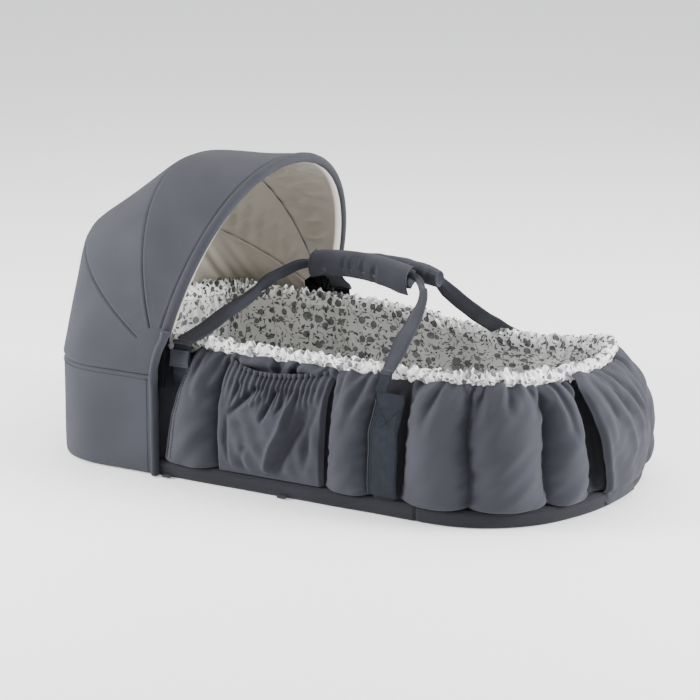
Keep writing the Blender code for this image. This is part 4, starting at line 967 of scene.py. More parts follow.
hang_over = 0.0024 * np.maximum(-crease(places, 0 * share, 41, 3, 0.0150), 0) * smooth(0.30, 0.0, share)
heights = heights + rim_lift(places, heights) + 0.0016 * ripple(places, 0 * share, 45, 3, 0.19) - hang_over
offsets = offsets + 0.5 * hang_over
ruffle_points = on_wall(places, offsets, heights)
floor_points = on_wall(places, np.array([[-0.0480, -0.0430]]), np.array([[0.1525, 0.1525]])
                       + rim_lift(places, 0.1525))
ruffle = closed_ring("rim_frill", ruffle_points, floor_points)
finish(ruffle, frill_cotton, replaced=("rim_ruffle",))


# Base: dark band round a flat underside
def stacked(name, rings):
    """Closed mesh through rings from the bottom's middle to the top's middle."""
    count, around = len(rings), len(rings[0])
    bottom, top, last = count * around, count * around + 1, (count - 1) * around
    faces = quad_grid(count, around, closed_v=True, flip=True).tolist()
    for i in range(around):
        j = (i + 1) % around
        faces += [[bottom, j, i], [top, last + i, last + j]]
    return build(name, np.vstack(rings + [rings[0].mean(axis=0), rings[-1].mean(axis=0)]), faces)


BASE_PROFILE = ((-0.0120, 0.0004), (-0.0045, 0.0003), (-0.0018, 0.0010), (-0.0003, 0.0030), (0.0004, 0.0070),
                (0.0006, 0.0120), (0.0003, 0.0165), (-0.0010, 0.0196), (-0.0040, 0.0212), (-0.0120, 0.0218))
BASE_SEAM_X = 0.196
base_u = np.linspace(HALF_GIRTH, -HALF_GIRTH, 1240, endpoint=False)
sag = 0.0004 * ripple(base_u, 0 * base_u, 61, 4, 0.09)
notch = -0.0022 * np.exp(-((np.abs(base_u) - at_x(BASE_SEAM_X)) / 0.0018) ** 2)
base_rings = [level_ring(base_u, -0.012, 0.0006, shrink) for shrink in (0.25, 0.6, 0.85)]
base_rings += [level_ring(base_u, offset + sag + notch, z) for offset, z in BASE_PROFILE]
base_rings += [level_ring(base_u, -0.012, 0.0215, shrink) for shrink in (0.85, 0.5, 0.2)]
base_band = stacked("base_band", base_rings)
finish(base_band, dark_band, replaced=("bottom_cover",))

# Mattress: crowned pad with a rolled edge, its parts given as shares of its thickness
MATTRESS_EDGE = ((-0.0560, 0.0), (-0.0500, 0.04), (-0.0478, 0.14), (-0.0486, 0.30), (-0.0482, 0.55),
                 (-0.0478, 0.80), (-0.0505, 0.90), (-0.0560, 0.945), (-0.0700, 0.965))
mattress_low, mattress_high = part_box("mattress")
mattress_u = np.linspace(HALF_GIRTH, -HALF_GIRTH, 420, endpoint=False)
thickness = mattress_high.z - mattress_low.z
mattress_rings = [level_ring(mattress_u, -0.056, mattress_low.z, shrink) for shrink in (0.3, 0.7)]
for offset, part in MATTRESS_EDGE:
    pucker = 0.0006 * ripple(mattress_u, 0 * mattress_u, 70, 4, 0.03) * math.sin(math.pi * min(1.0, part))
    mattress_rings.append(level_ring(mattress_u, offset + pucker, mattress_low.z + thickness * part))
mattress_rings += [level_ring(mattress_u, -0.070, mattress_low.z + thickness * part, shrink)
                   for shrink, part in ((0.82, 0.975), (0.55, 0.99), (0.25, 1.0))]
mattress = stacked("mattress_pad", mattress_rings)
finish(mattress, printed_cotton("printed_cotton_flat", with_uv=False), replaced=("mattress",))


# Folds drawn on loose cloth
def folded(a, b, folds):
    """Height of the cloth at (a, b) from folds: each is (line, half width, height), fading at its ends."""
    total = np.zeros(np.broadcast(a, b).shape)
    for line, half, height in folds:
        line = np.asarray(line, float)
        steps = np.linalg.norm(np.diff(line, axis=0), axis=1)
        reach = steps.sum()
        nearest = np.full(total.shape, 1e9)
        where = np.zeros(total.shape)
        run = 0.0
        for p, q, step in zip(line, line[1:], steps):
            t = np.clip(((a - p[0]) * (q[0] - p[0]) + (b - p[1]) * (q[1] - p[1])) / step ** 2, 0, 1)
            away = np.hypot(a - p[0] - t * (q[0] - p[0]), b - p[1] - t * (q[1] - p[1]))
            closer = away < nearest
            nearest = np.where(closer, away, nearest)
            where = np.where(closer, (run + t * step) / reach, where)
            run += step
        fade = np.clip(np.minimum(where / 0.16, (1 - where) / 0.30), 0, 1) ** 0.7
        total += height * bell(nearest, half) * (0.15 + 0.85 * fade)
    return total


# Foot cover: loose panel that narrows to the floor; its folds run from the near rim down to the middle
FOOT_FOLDS = (
    (((0.068, 0.157), (0.058, 0.122), (0.050, 0.084)), 0.0078, 0.0040),
    (((0.052, 0.158), (0.043, 0.132), (0.034, 0.108)), 0.0042, -0.0056),
    (((0.038, 0.158), (0.025, 0.124), (0.008, 0.092), (-0.004, 0.060)), 0.0078, 0.0056),
    (((0.022, 0.158), (0.008, 0.132), (-0.006, 0.106)), 0.0042, -0.0056),
    (((0.006, 0.158), (-0.010, 0.130), (-0.024, 0.100), (-0.030, 0.072)), 0.0074, 0.0050),
    (((-0.012, 0.157), (-0.027, 0.132), (-0.038, 0.108)), 0.0042, -0.0050),
    (((-0.030, 0.156), (-0.042, 0.124), (-0.048, 0.090)), 0.0074, 0.0044),
    (((-0.054, 0.152), (-0.060, 0.120), (-0.058, 0.084)), 0.0050, -0.0036),
    (((0.052, 0.074), (0.042, 0.042), (0.028, 0.014)), 0.0110, -0.0034),
    (((0.018, 0.062), (0.006, 0.036), (-0.004, 0.012)), 0.0130, 0.0030),
    (((0.072, 0.110), (0.062, 0.060), (0.046, 0.018)), 0.0050, 0.0018),
)
FOOT_PANEL_LOW, FOOT_PANEL_HIGH = 0.0034, 0.1590
foot_t = np.linspace(0, 1, 62)[None, :]
foot_s = np.linspace(1, -1, 84)[:, None]
foot_z = FOOT_PANEL_LOW + (FOOT_PANEL_HIGH - FOOT_PANEL_LOW) * foot_t
foot_half = np.interp(foot_z, (0.003, 0.030, 0.070, 0.120, 0.145, 0.159),
                      (0.038, 0.047, 0.060, 0.068, 0.071, 0.074))
foot_u = foot_s * foot_half
cover_offset, cover_height, _ = profile(COVER_LINE, 0.002)
under = np.interp(foot_z, cover_height, cover_offset)
under = np.where(foot_z < 0.030, np.maximum(under, 0.0014), under)
loose = np.sin(np.pi * np.clip(foot_t, 0.02, 1)) ** 0.35
folds = folded(foot_u * 1.16, foot_z, FOOT_FOLDS)
belly = 0.0026 * hump(foot_t, 0.8)
from_side = (1 - np.abs(foot_s)) * foot_half
edge_curl = 0.0085 * bell(from_side, 0.0042) * smooth(0.0, 0.12, foot_t) * smooth(1.0, 0.85, foot_t)
small = 0.0005 * ripple(foot_u, foot_z, 81, 5, 0.034, slant=0.8)
foot_out = under + 0.0018 + (belly + np.maximum(folds, -0.0022 - belly) + small) * loose - edge_curl
foot_rise = foot_z + rim_lift(foot_u, foot_z) \
    + 0.0010 * ripple(foot_u, 0 * foot_u, 82, 3, 0.030) * smooth(0.8, 1, foot_t)
over_frill = smooth(0.150, 0.159, foot_z) * smooth(0.015, 0.060, foot_u)
foot_rise = foot_rise + 0.0080 * over_frill
foot_out = foot_out + 0.0048 * over_frill
foot_points = on_wall(foot_u, foot_out, foot_rise)
foot_panel = cloth_piece("foot_panel_loose", foot_points, layout(foot_u, foot_z), CLOTH, slate, "slate_cloth",
                         "foot_cover")

# Side pocket: gathered cloth hung from an elastic hem
POCKET_TOP = ((0.00, 0.1560), (0.12, 0.1510), (0.30, 0.1468), (0.50, 0.1470), (0.70, 0.1495), (0.88, 0.1540),
              (1.00, 0.1580))
POCKET_FOLDS = (
    (((0.054, 0.132), (0.038, 0.114), (0.020, 0.096)), 0.0038, -0.0115),
    (((0.070, 0.131), (0.054, 0.115), (0.038, 0.106)), 0.0042, 0.0052),
    (((0.083, 0.132), (0.076, 0.112), (0.070, 0.094)), 0.0030, -0.0088),
    (((0.096, 0.132), (0.094, 0.116), (0.090, 0.106)), 0.0024, -0.0052),
    (((0.112, 0.132), (0.108, 0.112), (0.104, 0.090)), 0.0030, -0.0080),
    (((0.110, 0.132), (0.099, 0.090), (0.084, 0.058), (0.073, 0.026)), 0.0048, 0.0084),
    (((0.133, 0.122), (0.116, 0.090), (0.098, 0.060), (0.086, 0.028)), 0.0085, -0.0130),
    (((0.144, 0.128), (0.133, 0.094), (0.128, 0.040)), 0.0052, -0.0074),
    (((0.018, 0.096), (0.017, 0.064), (0.021, 0.032)), 0.0032, -0.0052),
    (((0.010, 0.130), (0.006, 0.092), (0.008, 0.034)), 0.0055, 0.0040),
    (((0.028, 0.086), (0.052, 0.088), (0.090, 0.086)), 0.0055, -0.0032),
    (((0.034, 0.070), (0.062, 0.064), (0.080, 0.070)), 0.0065, 0.0026),
    (((0.030, 0.134), (0.024, 0.116), (0.022, 0.106)), 0.0024, -0.0046),
    (((0.048, 0.064), (0.040, 0.044), (0.044, 0.026)), 0.0050, -0.0034),
)
pocket_start = at_x(POCKET_END_X) - 0.0010
pocket_end = at_x(MIDDLE_PAD_START_X) + 0.0015
pocket_width = pocket_start - pocket_end
pocket_low = 0.0225


def gather_turn(s):
    """Phase of the gathers along the pocket's hem."""
    return 2 * math.pi * (21 * s + 0.35 * np.sin(9 * s + 1.0) + 0.12 * np.sin(31 * s))


pocket_s = np.linspace(0, 1, 150)[:, None]
pocket_t = np.linspace(0, 1, 72)[None, :]
pocket_top = np.interp(pocket_s, *zip(*POCKET_TOP))
pocket_z = pocket_low + (pocket_top - pocket_low) * pocket_t
pocket_a = pocket_s * pocket_width
belly = hump(pocket_s, 0.5)
hem = smooth(0.86, 0.91, pocket_t)
gather_fade = smooth(0.66, 0.90, pocket_t)
ridges = rounded(np.sin(gather_turn(pocket_s)), 0.7)
swell = 0.0150 * np.sin(np.pi * pocket_t * 0.93) ** 0.55 * (1.0 - 0.50 * smooth(0.52, 0.80, pocket_s))
rise = smooth(0.0, 0.12, pocket_t)
above = smooth(0.100, 0.134, pocket_z)
pocket_base = seated(pocket_z, 0.05) * (1 - above) \
    + (np.interp(pocket_z, cover_height, cover_offset) - 0.0085) * above
pocket_out = pocket_base + 0.0006 + rise * belly * (swell * (1 - 0.62 * above) + 0.0030 * hem)
pocket_out = pocket_out + folded(pocket_a, pocket_z, POCKET_FOLDS) * rise * belly ** 0.5 * (1 - 0.7 * hem)
pocket_out = pocket_out + 0.0022 * ridges * gather_fade * belly ** 0.4
pocket_out = pocket_out + 0.0007 * ripple(pocket_a, pocket_z, 84, 5, 0.020, slant=0.5) * rise * (1 - hem)
pocket_points = on_wall(pocket_start - pocket_a, pocket_out, pocket_z)
side = smooth(0.0, 0.035, pocket_s) * smooth(1.0, 0.965, pocket_s)
tucked = on_wall(pocket_start - pocket_a, pocket_base - 0.0040, pocket_z)
pocket_points = tucked * (1 - side[..., None]) + pocket_points * side[..., None]
pocket = cloth_piece("side_pocket_gathered", pocket_points, layout(pocket_a * 1.5, pocket_z), CLOTH, slate,
                     "slate_cloth", "side_pocket")
# Rolled hem with the elastic in it
hem_s = np.linspace(0.012, 0.988, 260)
hem_z = np.interp(hem_s, *zip(*POCKET_TOP))
hem_out = np.interp(hem_s, pocket_s[:, 0], pocket_out[:, -1])
hem_line = on_wall(pocket_start - hem_s * pocket_width, hem_out, hem_z + 0.0004)
hem_radius = 0.0022 + 0.0006 * np.sin(gather_turn(hem_s))
pocket_hem = round_tube("pocket_elastic_hem", hem_line, hem_radius, 12, squash=(0.9, 1.25))
finish(pocket_hem, slate, replaced=("pocket_elastic",))

# Head wrap: smooth cloth round the head end
wrap_start = at_x(WRAP_EDGE_X)
wrap_q = np.linspace(2 * HALF_GIRTH - wrap_start, wrap_start, 190)
wrap_u = round_head(wrap_q)
WRAP_LINE = ((-0.0016, 0.0012), (0.0012, 0.0014), (0.0030, 0.0045), (0.0036, 0.0140), (0.0040, 0.0500),
             (0.0040, 0.0900), (0.0036, 0.1180), (0.0031, 0.1270), (0.0022, 0.1294), (0.0004, 0.1300))
wrap_offset, wrap_height, wrap_run = profile(WRAP_LINE, 0.0040)
wave = 0.0008 * ripple(wrap_q[:, None], wrap_height[None, :], 51, 4, 0.16, slant=0.4) \
    * hump(np.clip(wrap_height / WRAP_TOP, 0, 1))[None, :]
wrap_points = on_wall(wrap_u[:, None], wrap_offset[None, :] + wave, wrap_height[None, :])
wrap = cloth_piece("head_wrap_cloth", wrap_points, layout(-wrap_q[:, None], wrap_run[None, :]), 2 * CLOTH, slate_hood,
                   "slate_cloth", "head_end_wrap")


# Hood
def bow_points(angle, radius, half_width, turn):
    """Points on a bow for turns in degrees: 0 at the near pivot, 90 on top, 180 at the far pivot."""
    angle, radius, turn = np.broadcast_arrays(np.asarray(angle, float), radius, turn)
    t = np.radians(turn)
    power = 2 / BOW_SQUARENESS
    reach = radius * np.maximum(np.sin(t), 0) ** power
    y = -np.sign(np.cos(t)) * half_width * np.abs(np.cos(t)) ** power
    lean = np.radians(angle)
    return np.stack([PIVOT_X + reach * np.cos(lean), y, PIVOT_Z + reach * np.sin(lean)], axis=-1)


def turn_at(radius, reach):
    return math.degrees(math.asin((reach / radius) ** (BOW_SQUARENESS / 2)))


def bow_turns(radius, reach, share):
    """Turns along a bow for shares of its length from near to far, this far clear of the pivots."""
    first = turn_at(radius, reach)
    return first + (180 - 2 * first) * share


HOOD_MIDDLE = np.array([PIVOT_X, 0.0, PIVOT_Z])


def surface_normal(points, outward):
    """Unit normals of a grid of points, turned away from the hood's middle or towards it."""
    normal = unit(np.cross(np.gradient(points, axis=0), np.gradient(points, axis=1)))
    facing = np.sum(normal * (points - HOOD_MIDDLE), axis=-1, keepdims=True)
    return normal * np.sign(facing) * (1 if outward else -1)


PANEL_REACH = 0.034
SEAM_GAP = 0.0001


def between_bows(front, rear, half_width, rise, front_margin, rear_margin, across, rows):
    """Ruled cloth between two bows: [across from near to far, from the rear bow forwards]."""
    share = np.linspace(0, 1, across)
    ahead, behind = (bow_points(angle, radius + rise, half_width, bow_turns(radius + rise, PANEL_REACH, share))
                     for angle, radius in (front, rear))
    chord = np.linalg.norm(ahead - behind, axis=1)[:, None]
    low, high = rear_margin / chord, 1 - front_margin / chord
    place = low + (high - low) * np.linspace(0, 1, rows)[None, :]
    return behind[:, None, :] + (ahead - behind)[:, None, :] * place[..., None], place * chord, \
        (1 - place) * chord, place


def above_ring(foot, head, rows):
    """Ruled cloth from the head end's ring up to the rear bow, with shares of the way and its length."""
    k = np.linspace(0, 1, rows)[None, :]
    points = foot[:, None, :] + (head - foot)[:, None, :] * k[..., None]
    return points, k, np.linalg.norm(head - foot, axis=1)[:, None]


def panel_uv(points):
    rise = np.cumsum(np.linalg.norm(np.diff(points, axis=1), axis=2), axis=1)
    return layout(run_along(points[:, points.shape[1] // 2])[:, None], np.pad(rise, ((0, 0), (1, 0))))


def seam_dip(distance, depth=0.0024, half=0.0015):
    """A sewn seam: the cloth turns in, with a slight ridge beside it."""
    return -depth * bell(distance, half) + 0.0004 * bell(distance - 2.4 * half, half)


def hood_sheet(name, cad, points, move, joint, lining=False):
    """Hood cloth over points moved along their normals; the satin faces inwards."""
    points = points + surface_normal(points, not lining) * move[..., None]
    return hood_cloth(name, cad, points, joint, lining)


def hood_cloth(name, cad, points, joint, lining):
    look = (LINING_CLOTH, beige, "beige_lining") if lining else (CLOTH, slate_hood, "slate_cloth")
    return cloth_piece(name, points, panel_uv(points), *look, cad, joint=joint, flip=lining)


LINING_CLOTH = 0.0008
BINDING_BACK = 0.0050
PANEL_LENGTH = 0.62
PANEL_COLUMNS = 150
for name, cad, front, rear, behind_body, ahead_body, margin, seed in (
        ("hood_front_cloth", "hood_front_panel", FRONT_BOW, MIDDLE_BOW, "hood_mid", "hood_front", BINDING_BACK, 31),
        ("hood_mid_cloth", "hood_mid_panel", MIDDLE_BOW, REAR_BOW, "hood_rear", "hood_mid", SEAM_GAP, 37)):
    points, from_rear, from_front, place = between_bows(front, rear, CLOTH_HALF_WIDTH, CLOTH_RISE + 0.0004, margin,
                                                        SEAM_GAP, PANEL_COLUMNS, 34)
    over = np.sin(np.pi * np.linspace(0, 1, PANEL_COLUMNS))[:, None] ** 0.5
    inside = hump(place)
    move = -0.0016 * inside * over - 0.0013 * bell(from_rear, 0.012) * over + seam_dip(from_rear)
    if front is FRONT_BOW:
        move = move + seam_dip(np.maximum(from_front - margin, 0), 0.0010)
    else:
        move = move + seam_dip(from_front) - 0.0013 * bell(from_front, 0.012) * over
    run = np.linspace(0, PANEL_LENGTH, PANEL_COLUMNS)[:, None]
    move = move + 0.0005 * ripple(run, from_rear, seed, 4, 0.10, slant=0.7) * inside
    near_pivot = np.exp(-np.minimum(run, PANEL_LENGTH - run) / 0.05)
    move = move + 0.0006 * ripple(run, from_rear * 0.3, seed + 1, 4, 0.022) * near_pivot * inside
    hood_sheet(name, cad, points, move, (behind_body, ahead_body, place))

# Rear panel: from the wrap's top to the rear bow, with a small corner round each pivot
REAR_LEAD = 0.030
REAR_REACH = 0.0362
REAR_FOOT = (0.0036, 0.1302)
rear_q = np.linspace(wrap_start, 2 * HALF_GIRTH - wrap_start, 210)
rear_foot = on_wall(round_head(rear_q), *REAR_FOOT)
rear_radius = REAR_BOW[1] + CLOTH_RISE + 0.0004
from_edge = np.minimum(rear_q - wrap_start, 2 * HALF_GIRTH - wrap_start - rear_q)
corner = np.clip(from_edge / REAR_LEAD, 0, 1)
share = np.clip((rear_q - wrap_start - REAR_LEAD) / (2 * (HALF_GIRTH - wrap_start - REAR_LEAD)), 0, 1)
rear_angle = FRONT_BOW[0] + (REAR_BOW[0] - FRONT_BOW[0]) * corner
rear_head = bow_points(rear_angle, rear_radius, CLOTH_HALF_WIDTH, bow_turns(rear_radius, REAR_REACH, share))
points, k, chord = above_ring(rear_foot, rear_head, 36)
over = hump(share)[:, None] ** 0.5
move = 0.0020 * hump(k) * over + seam_dip((1 - k) * chord) * corner[:, None] + seam_dip(k * chord)
move = move - 0.0013 * np.exp(-((1 - k) * chord / 0.012) ** 2) * over
move = move + 0.0006 * ripple(rear_q[:, None], k * chord, 47, 4, 0.09, slant=0.5) * hump(k)
rear_panel = hood_sheet("hood_rear_cloth", "hood_rear_panel", points, move,
                        ("nest", "hood_rear", k * smooth(0.0, 1.0, corner)[:, None]))

# Hood lining: thinner satin with cross wrinkles, turned out over the front bow's edge
lean = math.radians(FRONT_BOW[0])
FORWARD = np.array([math.sin(lean), 0.0, -math.cos(lean)])
LINING_LENGTH = 0.60
LINING_COLUMNS = 190
LINING_GAP = 0.0002
for name, cad, front, rear, behind_body, ahead_body, seed, depth in (
        ("hood_front_satin", "hood_front_lining", FRONT_BOW, MIDDLE_BOW, "hood_mid", "hood_front", 101, 0.0042),
        ("hood_mid_satin", "hood_mid_lining", MIDDLE_BOW, REAR_BOW, "hood_rear", "hood_mid", 107, 0.0026)):
    points, from_rear, from_front, place = between_bows(front, rear, LINING_HALF_WIDTH, -CLOTH_RISE, LINING_GAP,
                                                        LINING_GAP, LINING_COLUMNS, 34)
    run = np.linspace(0, LINING_LENGTH, LINING_COLUMNS)[:, None]
    over = np.sin(np.pi * run / LINING_LENGTH)
    wrinkle = depth * crease(run, from_rear, seed, 3, 0.019, slant=0.25) * (0.45 + 0.75 * smooth(0.9, 0.1, place)) \
        * np.clip(0.35 + 0.9 * (1 - over) + 0.4 * smooth(0.30, 0.38, run), 0, 1)
    inside = hump(place)
    move = wrinkle * inside ** 0.6 - 0.0020 * inside * over + seam_dip(from_rear, 0.0022, 0.0028) \
        + seam_dip(np.maximum(from_front - LINING_GAP, 0.004), 0.0012)
    points = points + surface_normal(points, False) * move[..., None]
    if front is FRONT_BOW:
        reach = FRONT_BOW[1] + CLOTH_RISE - 0.0030
        turns = bow_turns(reach, PANEL_REACH, np.linspace(0, 1, LINING_COLUMNS))
        outer = bow_points(FRONT_BOW[0], reach, CLOTH_HALF_WIDTH - 0.0030, turns) + FORWARD * 0.0012
        inner = points[:, -1] + FORWARD * 0.0014
        turned = [inner * (1 - w) + outer * w + FORWARD * 0.0030 * math.sin(math.pi * w)
                  for w in (0.0, 0.25, 0.5, 0.75, 1.0)]
        points = np.concatenate([points, np.stack(turned, axis=1)], axis=1)
        place = np.concatenate([place, np.ones((LINING_COLUMNS, len(turned)))], axis=1)
    hood_cloth(name, cad, points, (behind_body, ahead_body, place), True)

INNER_FOOT = (-0.0052, 0.1345)
inner_start = at_x(-0.200)
inner_q = np.linspace(inner_start, 2 * HALF_GIRTH - inner_start, 180)
inner_foot = on_wall(round_head(inner_q), *INNER_FOOT)
inner_radius = REAR_BOW[1] - CLOTH_RISE
inner_share = np.linspace(0, 1, 180)
inner_head = bow_points(REAR_BOW[0], inner_radius, LINING_HALF_WIDTH,
                        bow_turns(inner_radius, PANEL_REACH, inner_share))
points, k, chord = above_ring(inner_foot, inner_head, 30)
move = 0.0012 * ripple(inner_q[:, None], k * chord, 113, 5, 0.030, slant=0.6) * hump(k) \
    - 0.0015 * hump(k) * hump(inner_share)[:, None] + seam_dip((1 - k) * chord, 0.0012)
satin = hood_sheet("hood_rear_satin", "hood_rear_lining", points, move, ("nest", "hood_rear", k * np.ones((180, 1))),
                   lining=True)

# Sleeves that hold the bows to the lining
for name, (angle, radius), body in (("mid_bow_sleeve", MIDDLE_BOW, "hood_mid"),
                                    ("rear_bow_sleeve", REAR_BOW, "hood_rear")):
    radius -= CLOTH_RISE + 0.0008
    turns = bow_turns(radius, PANEL_REACH + 0.004, np.linspace(0, 1, 150))
    line = bow_points(angle, radius, LINING_HALF_WIDTH - 0.0006, turns)
    bumps = 0.0012 + 0.0002 * ripple(np.linspace(0, LINING_LENGTH, 150), np.zeros(150), 120, 3, 0.020)
    sleeve = round_tube(name, line, bumps, 12, up=(1, 0, 0))
    finish(sleeve, beige, body=body)

# Rolled edge on the front bow: wider along the hood than it is thick
ROLL_HALF_WIDTH, ROLL_HALF_DEPTH = 0.0066, 0.0062
edge_radius = FRONT_BOW[1] + CLOTH_RISE - 0.0006
edge_line = bow_points(FRONT_BOW[0], edge_radius, CLOTH_HALF_WIDTH - 0.0006,
                       bow_turns(edge_radius, 0.028, np.linspace(0, 1, 220))) + FORWARD * 0.0012
outward = np.cross(unit(np.gradient(edge_line, axis=0)), FORWARD)
outward *= np.sign(np.sum(outward * (edge_line - HOOD_MIDDLE), axis=1, keepdims=True))
turn = around_turn(28)
thickness_wave = 1 + 0.02 * ripple(np.linspace(0, 0.65, 220), np.zeros(220), 130, 4, 0.05)
ring = (FORWARD[None, None, :] * (ROLL_HALF_WIDTH * rounded(np.cos(turn), 0.85))[None, :, None]
        + outward[:, None, :] * (ROLL_HALF_DEPTH * np.sin(turn) - 0.0028)[None, :, None]
        * thickness_wave[:, None, None])
binding = tube_object("front_edge_roll", edge_line[:, None, :] + ring,
                      layout((turn * 0.006)[None, :], run_along(edge_line)[:, None]))
finish(binding, slate_hood, body="hood_front", replaced=("front_edge_binding",))

# Rolled piping down the wrap's edge, on each side
for side, label in ((-1, "near"), (1, "far")):
    x = WRAP_EDGE_X + 0.0002
    y, high = side * (HALF_WIDTH + 0.0040), side * (HALF_WIDTH + 0.0050)
    top = (PIVOT_X - 0.0225 * FORWARD[2] + 0.0045, high, PIVOT_Z + 0.0225 * FORWARD[0])
    line = along_path([(x, y, 0.0016), (x, y, 0.03), (x, y, 0.065), (x, y, 0.100), (x, (y + high) / 2, 0.122),
                       (x + 0.0012, high, 0.138), (x + 0.0045, high, 0.152), (x + 0.0098, high, 0.166),
                       top, (top[0] + 0.0040, high * 0.9985, top[2] + 0.0120)], 0.0030)
    count = len(line)
    radius = 0.0052 + 0.00025 * ripple(np.linspace(0, 0.2, count), np.zeros(count), 140 + side, 4, 0.03)
    radius[:3] *= (0.80, 0.94, 1.0)
    piping = round_tube(label + "_piping_roll", line, radius, 18, squash=(0.95, 1.30), up=(0, side, 0))
    finish(piping, slate_hood, replaced=(label + "_wrap_piping",))


# Sewn-on webbing: up the wall and round the handle's swing line
AXIS_INSET = 0.0185
AXIS_Z = next(j["pos_m"][2] for j in frame["joints"] if j["name"] == "near_handle_swing")
AXIS_Y = HALF_WIDTH - AXIS_INSET
WEBBING = 0.0022
KEEPER_Z = 0.1520
FAR_LEAN = 0.0200
FAR_STRAP_LEAVES = 0.1340
NEAR_STRAP_SHIFT = 0.0075
NEAR_HEAD_SHIFT = 0.0060
HEAD_WEBBING_INSET = 0.0150
NARROWS_FROM, NARROWS_TO, NARROWS_BY = 0.1475, 0.1485, 0.58
STITCH_INSET = 0.0028
webbing_places = [(seated(z, 0.35) + 0.0003 + WEBBING / 2, z, 0.0)
                  for z in (0.026, 0.0412, 0.0560, 0.0708, 0.0880, 0.1058, 0.1220, 0.1354)]
webbing_places += [(-0.0150, 0.1480, 0.0), (-0.0170, 0.1600, 0.0), (-AXIS_INSET, AXIS_Z + 0.0008, 0.0)]
WEBBING_LINE = along_path(webbing_places, 0.0022)
CLIMB = WEBBING_LINE[:np.argmax(WEBBING_LINE[:, 1])]


def on_side(side, x, line):
    """A strap's middle line on one side, with its outward directions."""
    centre = np.stack([np.full(len(line), x), side * (HALF_WIDTH + line[:, 0]), line[:, 1]], axis=1)
    wide = np.tile([1.0, 0.0, 0.0], (len(line), 1))
    return centre, wide, np.cross(unit(np.gradient(centre, axis=0)), wide) * side * -1


def cross_stitch(name, side, x, half, low, high):
    """Box with a cross in it, sewn through a strap between two heights."""
    t = np.linspace(0, 1, 12)
    heights = low + (high - low) * t
    surface = np.interp(heights, CLIMB[:, 1], CLIMB[:, 0]) + WEBBING / 2 + 0.0001

    def row(x_start, x_end, z_start, z_end):
        z = z_start + (z_end - z_start) * t
        return np.stack([x + x_start + (x_end - x_start) * t,
                         side * (HALF_WIDTH + np.interp(z, heights, surface)), z], axis=1)

    rows = [row(-half, half, low, low), row(-half, half, high, high), row(-half, -half, low, high),
            row(half, half, low, high), row(-half, half, low, high), row(-half, half, high, low)]
    return join(name, [stitches(name + "_part", points, (0.0, side, 0.0), 0.0022, 0.0010) for points in rows])


for side, label in ((-1, "near"), (1, "far")):
    near, far = side < 0, side > 0
    for end, x, width in (("head", HEAD_WEBBING_X, HEAD_WEBBING_WIDTH), ("foot", FOOT_WEBBING_X, FOOT_WEBBING_WIDTH)):
        head, foot = end == "head", end == "foot"
        line = WEBBING_LINE
        centre, wide, normal = on_side(side, x, line)
        stepped = smooth(NARROWS_FROM, NARROWS_TO, centre[:, 2])
        narrow = 1 - NARROWS_BY * foot * stepped
        centre[:, 1] -= side * HEAD_WEBBING_INSET * smooth(0.136, 0.112, centre[:, 2]) * head
        lean_back = FAR_LEAN * smooth(0.085, 0.137, centre[:, 2]) * (far and foot) + NEAR_HEAD_SHIFT * (near and head)
        centre[:, 0] -= lean_back
        centre[:, 0] -= (NEAR_STRAP_SHIFT + 0.0055 * smooth(0.166, 0.148, centre[:, 2])) * stepped * (near and foot)
        if far and foot:
            shown = line[:, 1] < FAR_STRAP_LEAVES
            line, centre, wide, normal, narrow, lean_back = (
                rows[shown] for rows in (line, centre, wide, normal, narrow, lean_back))
        centre = centre + normal * (0.0006 * ripple(line[:, 1], 0 * line[:, 1], 150, 3, 0.05))[:, None]
        band = band_object(f"{label}_{end}_webbing_sewn", centre, wide, normal, width * narrow, WEBBING)
        finish(band, webbing, replaced=(f"{label}_{end}_webbing",))
        climb = np.argmax(line[:, 1] > 0.140) or len(line)
        rows = []
        for edge in (-1, 1):
            place = centre[:climb] + [0, side * (WEBBING / 2 + 0.0001), 0]
            place[:, 0] = x + edge * (width / 2 - STITCH_INSET) - lean_back[:climb]
            rows.append(stitches("row", place, (0, side, 0), 0.0026, 0.0012))
        finish(join(f"{label}_{end}_webbing_stitches", rows), thread)
        if near and foot:
            rolled = centre[:climb] + [-width / 2 - 0.0006, side * 0.0006, 0.0]
            welt = round_tube("near_foot_webbing_welt", rolled, 0.0010, 10, up=(0.3, 0.9, 0.1))
            finish(welt, slate)
        if foot:
            box = cross_stitch(f"{label}_webbing_cross", side, x, width / 2 - 0.0058, 0.1010, 0.1300)
            finish(box, thread)
    # Keeper tab over the head webbing
    middle_z = KEEPER_Z if near else KEEPER_Z - 0.022
    tab_shift, tab_grow = (-0.0075, 0.0040) if near else (0.0040, 0.0090)
    heights = np.linspace(middle_z - 0.0105, middle_z + 0.0105, 16)
    offset = np.interp(heights, CLIMB[:, 1], CLIMB[:, 0]) + WEBBING / 2 + 0.0012
    pinch = 1 - 0.05 * np.sin(np.pi * np.linspace(0, 1, 16))
    centre, wide, normal = on_side(side, HEAD_WEBBING_X + tab_shift, np.stack([offset, heights], axis=1))
    tab_width = HEAD_WEBBING_WIDTH + tab_grow
    tab = band_object(f"{label}_keeper_tab_sewn", centre, wide, normal, tab_width * pinch, 0.0018, crown=0.0012)
    finish(tab, slate, replaced=(f"{label}_keeper_tab",))
    rows = []
    for row in (2, 13):
        place = np.tile(centre[row] + [0, side * 0.0010, 0], (12, 1))
        place[:, 0] += (tab_width / 2 - 0.0025) * np.linspace(-1, 1, 12)
        rows.append(stitches("row", place, (0, side, 0), 0.0022, 0.0010))
    finish(join(f"{label}_keeper_stitches", rows), thread)


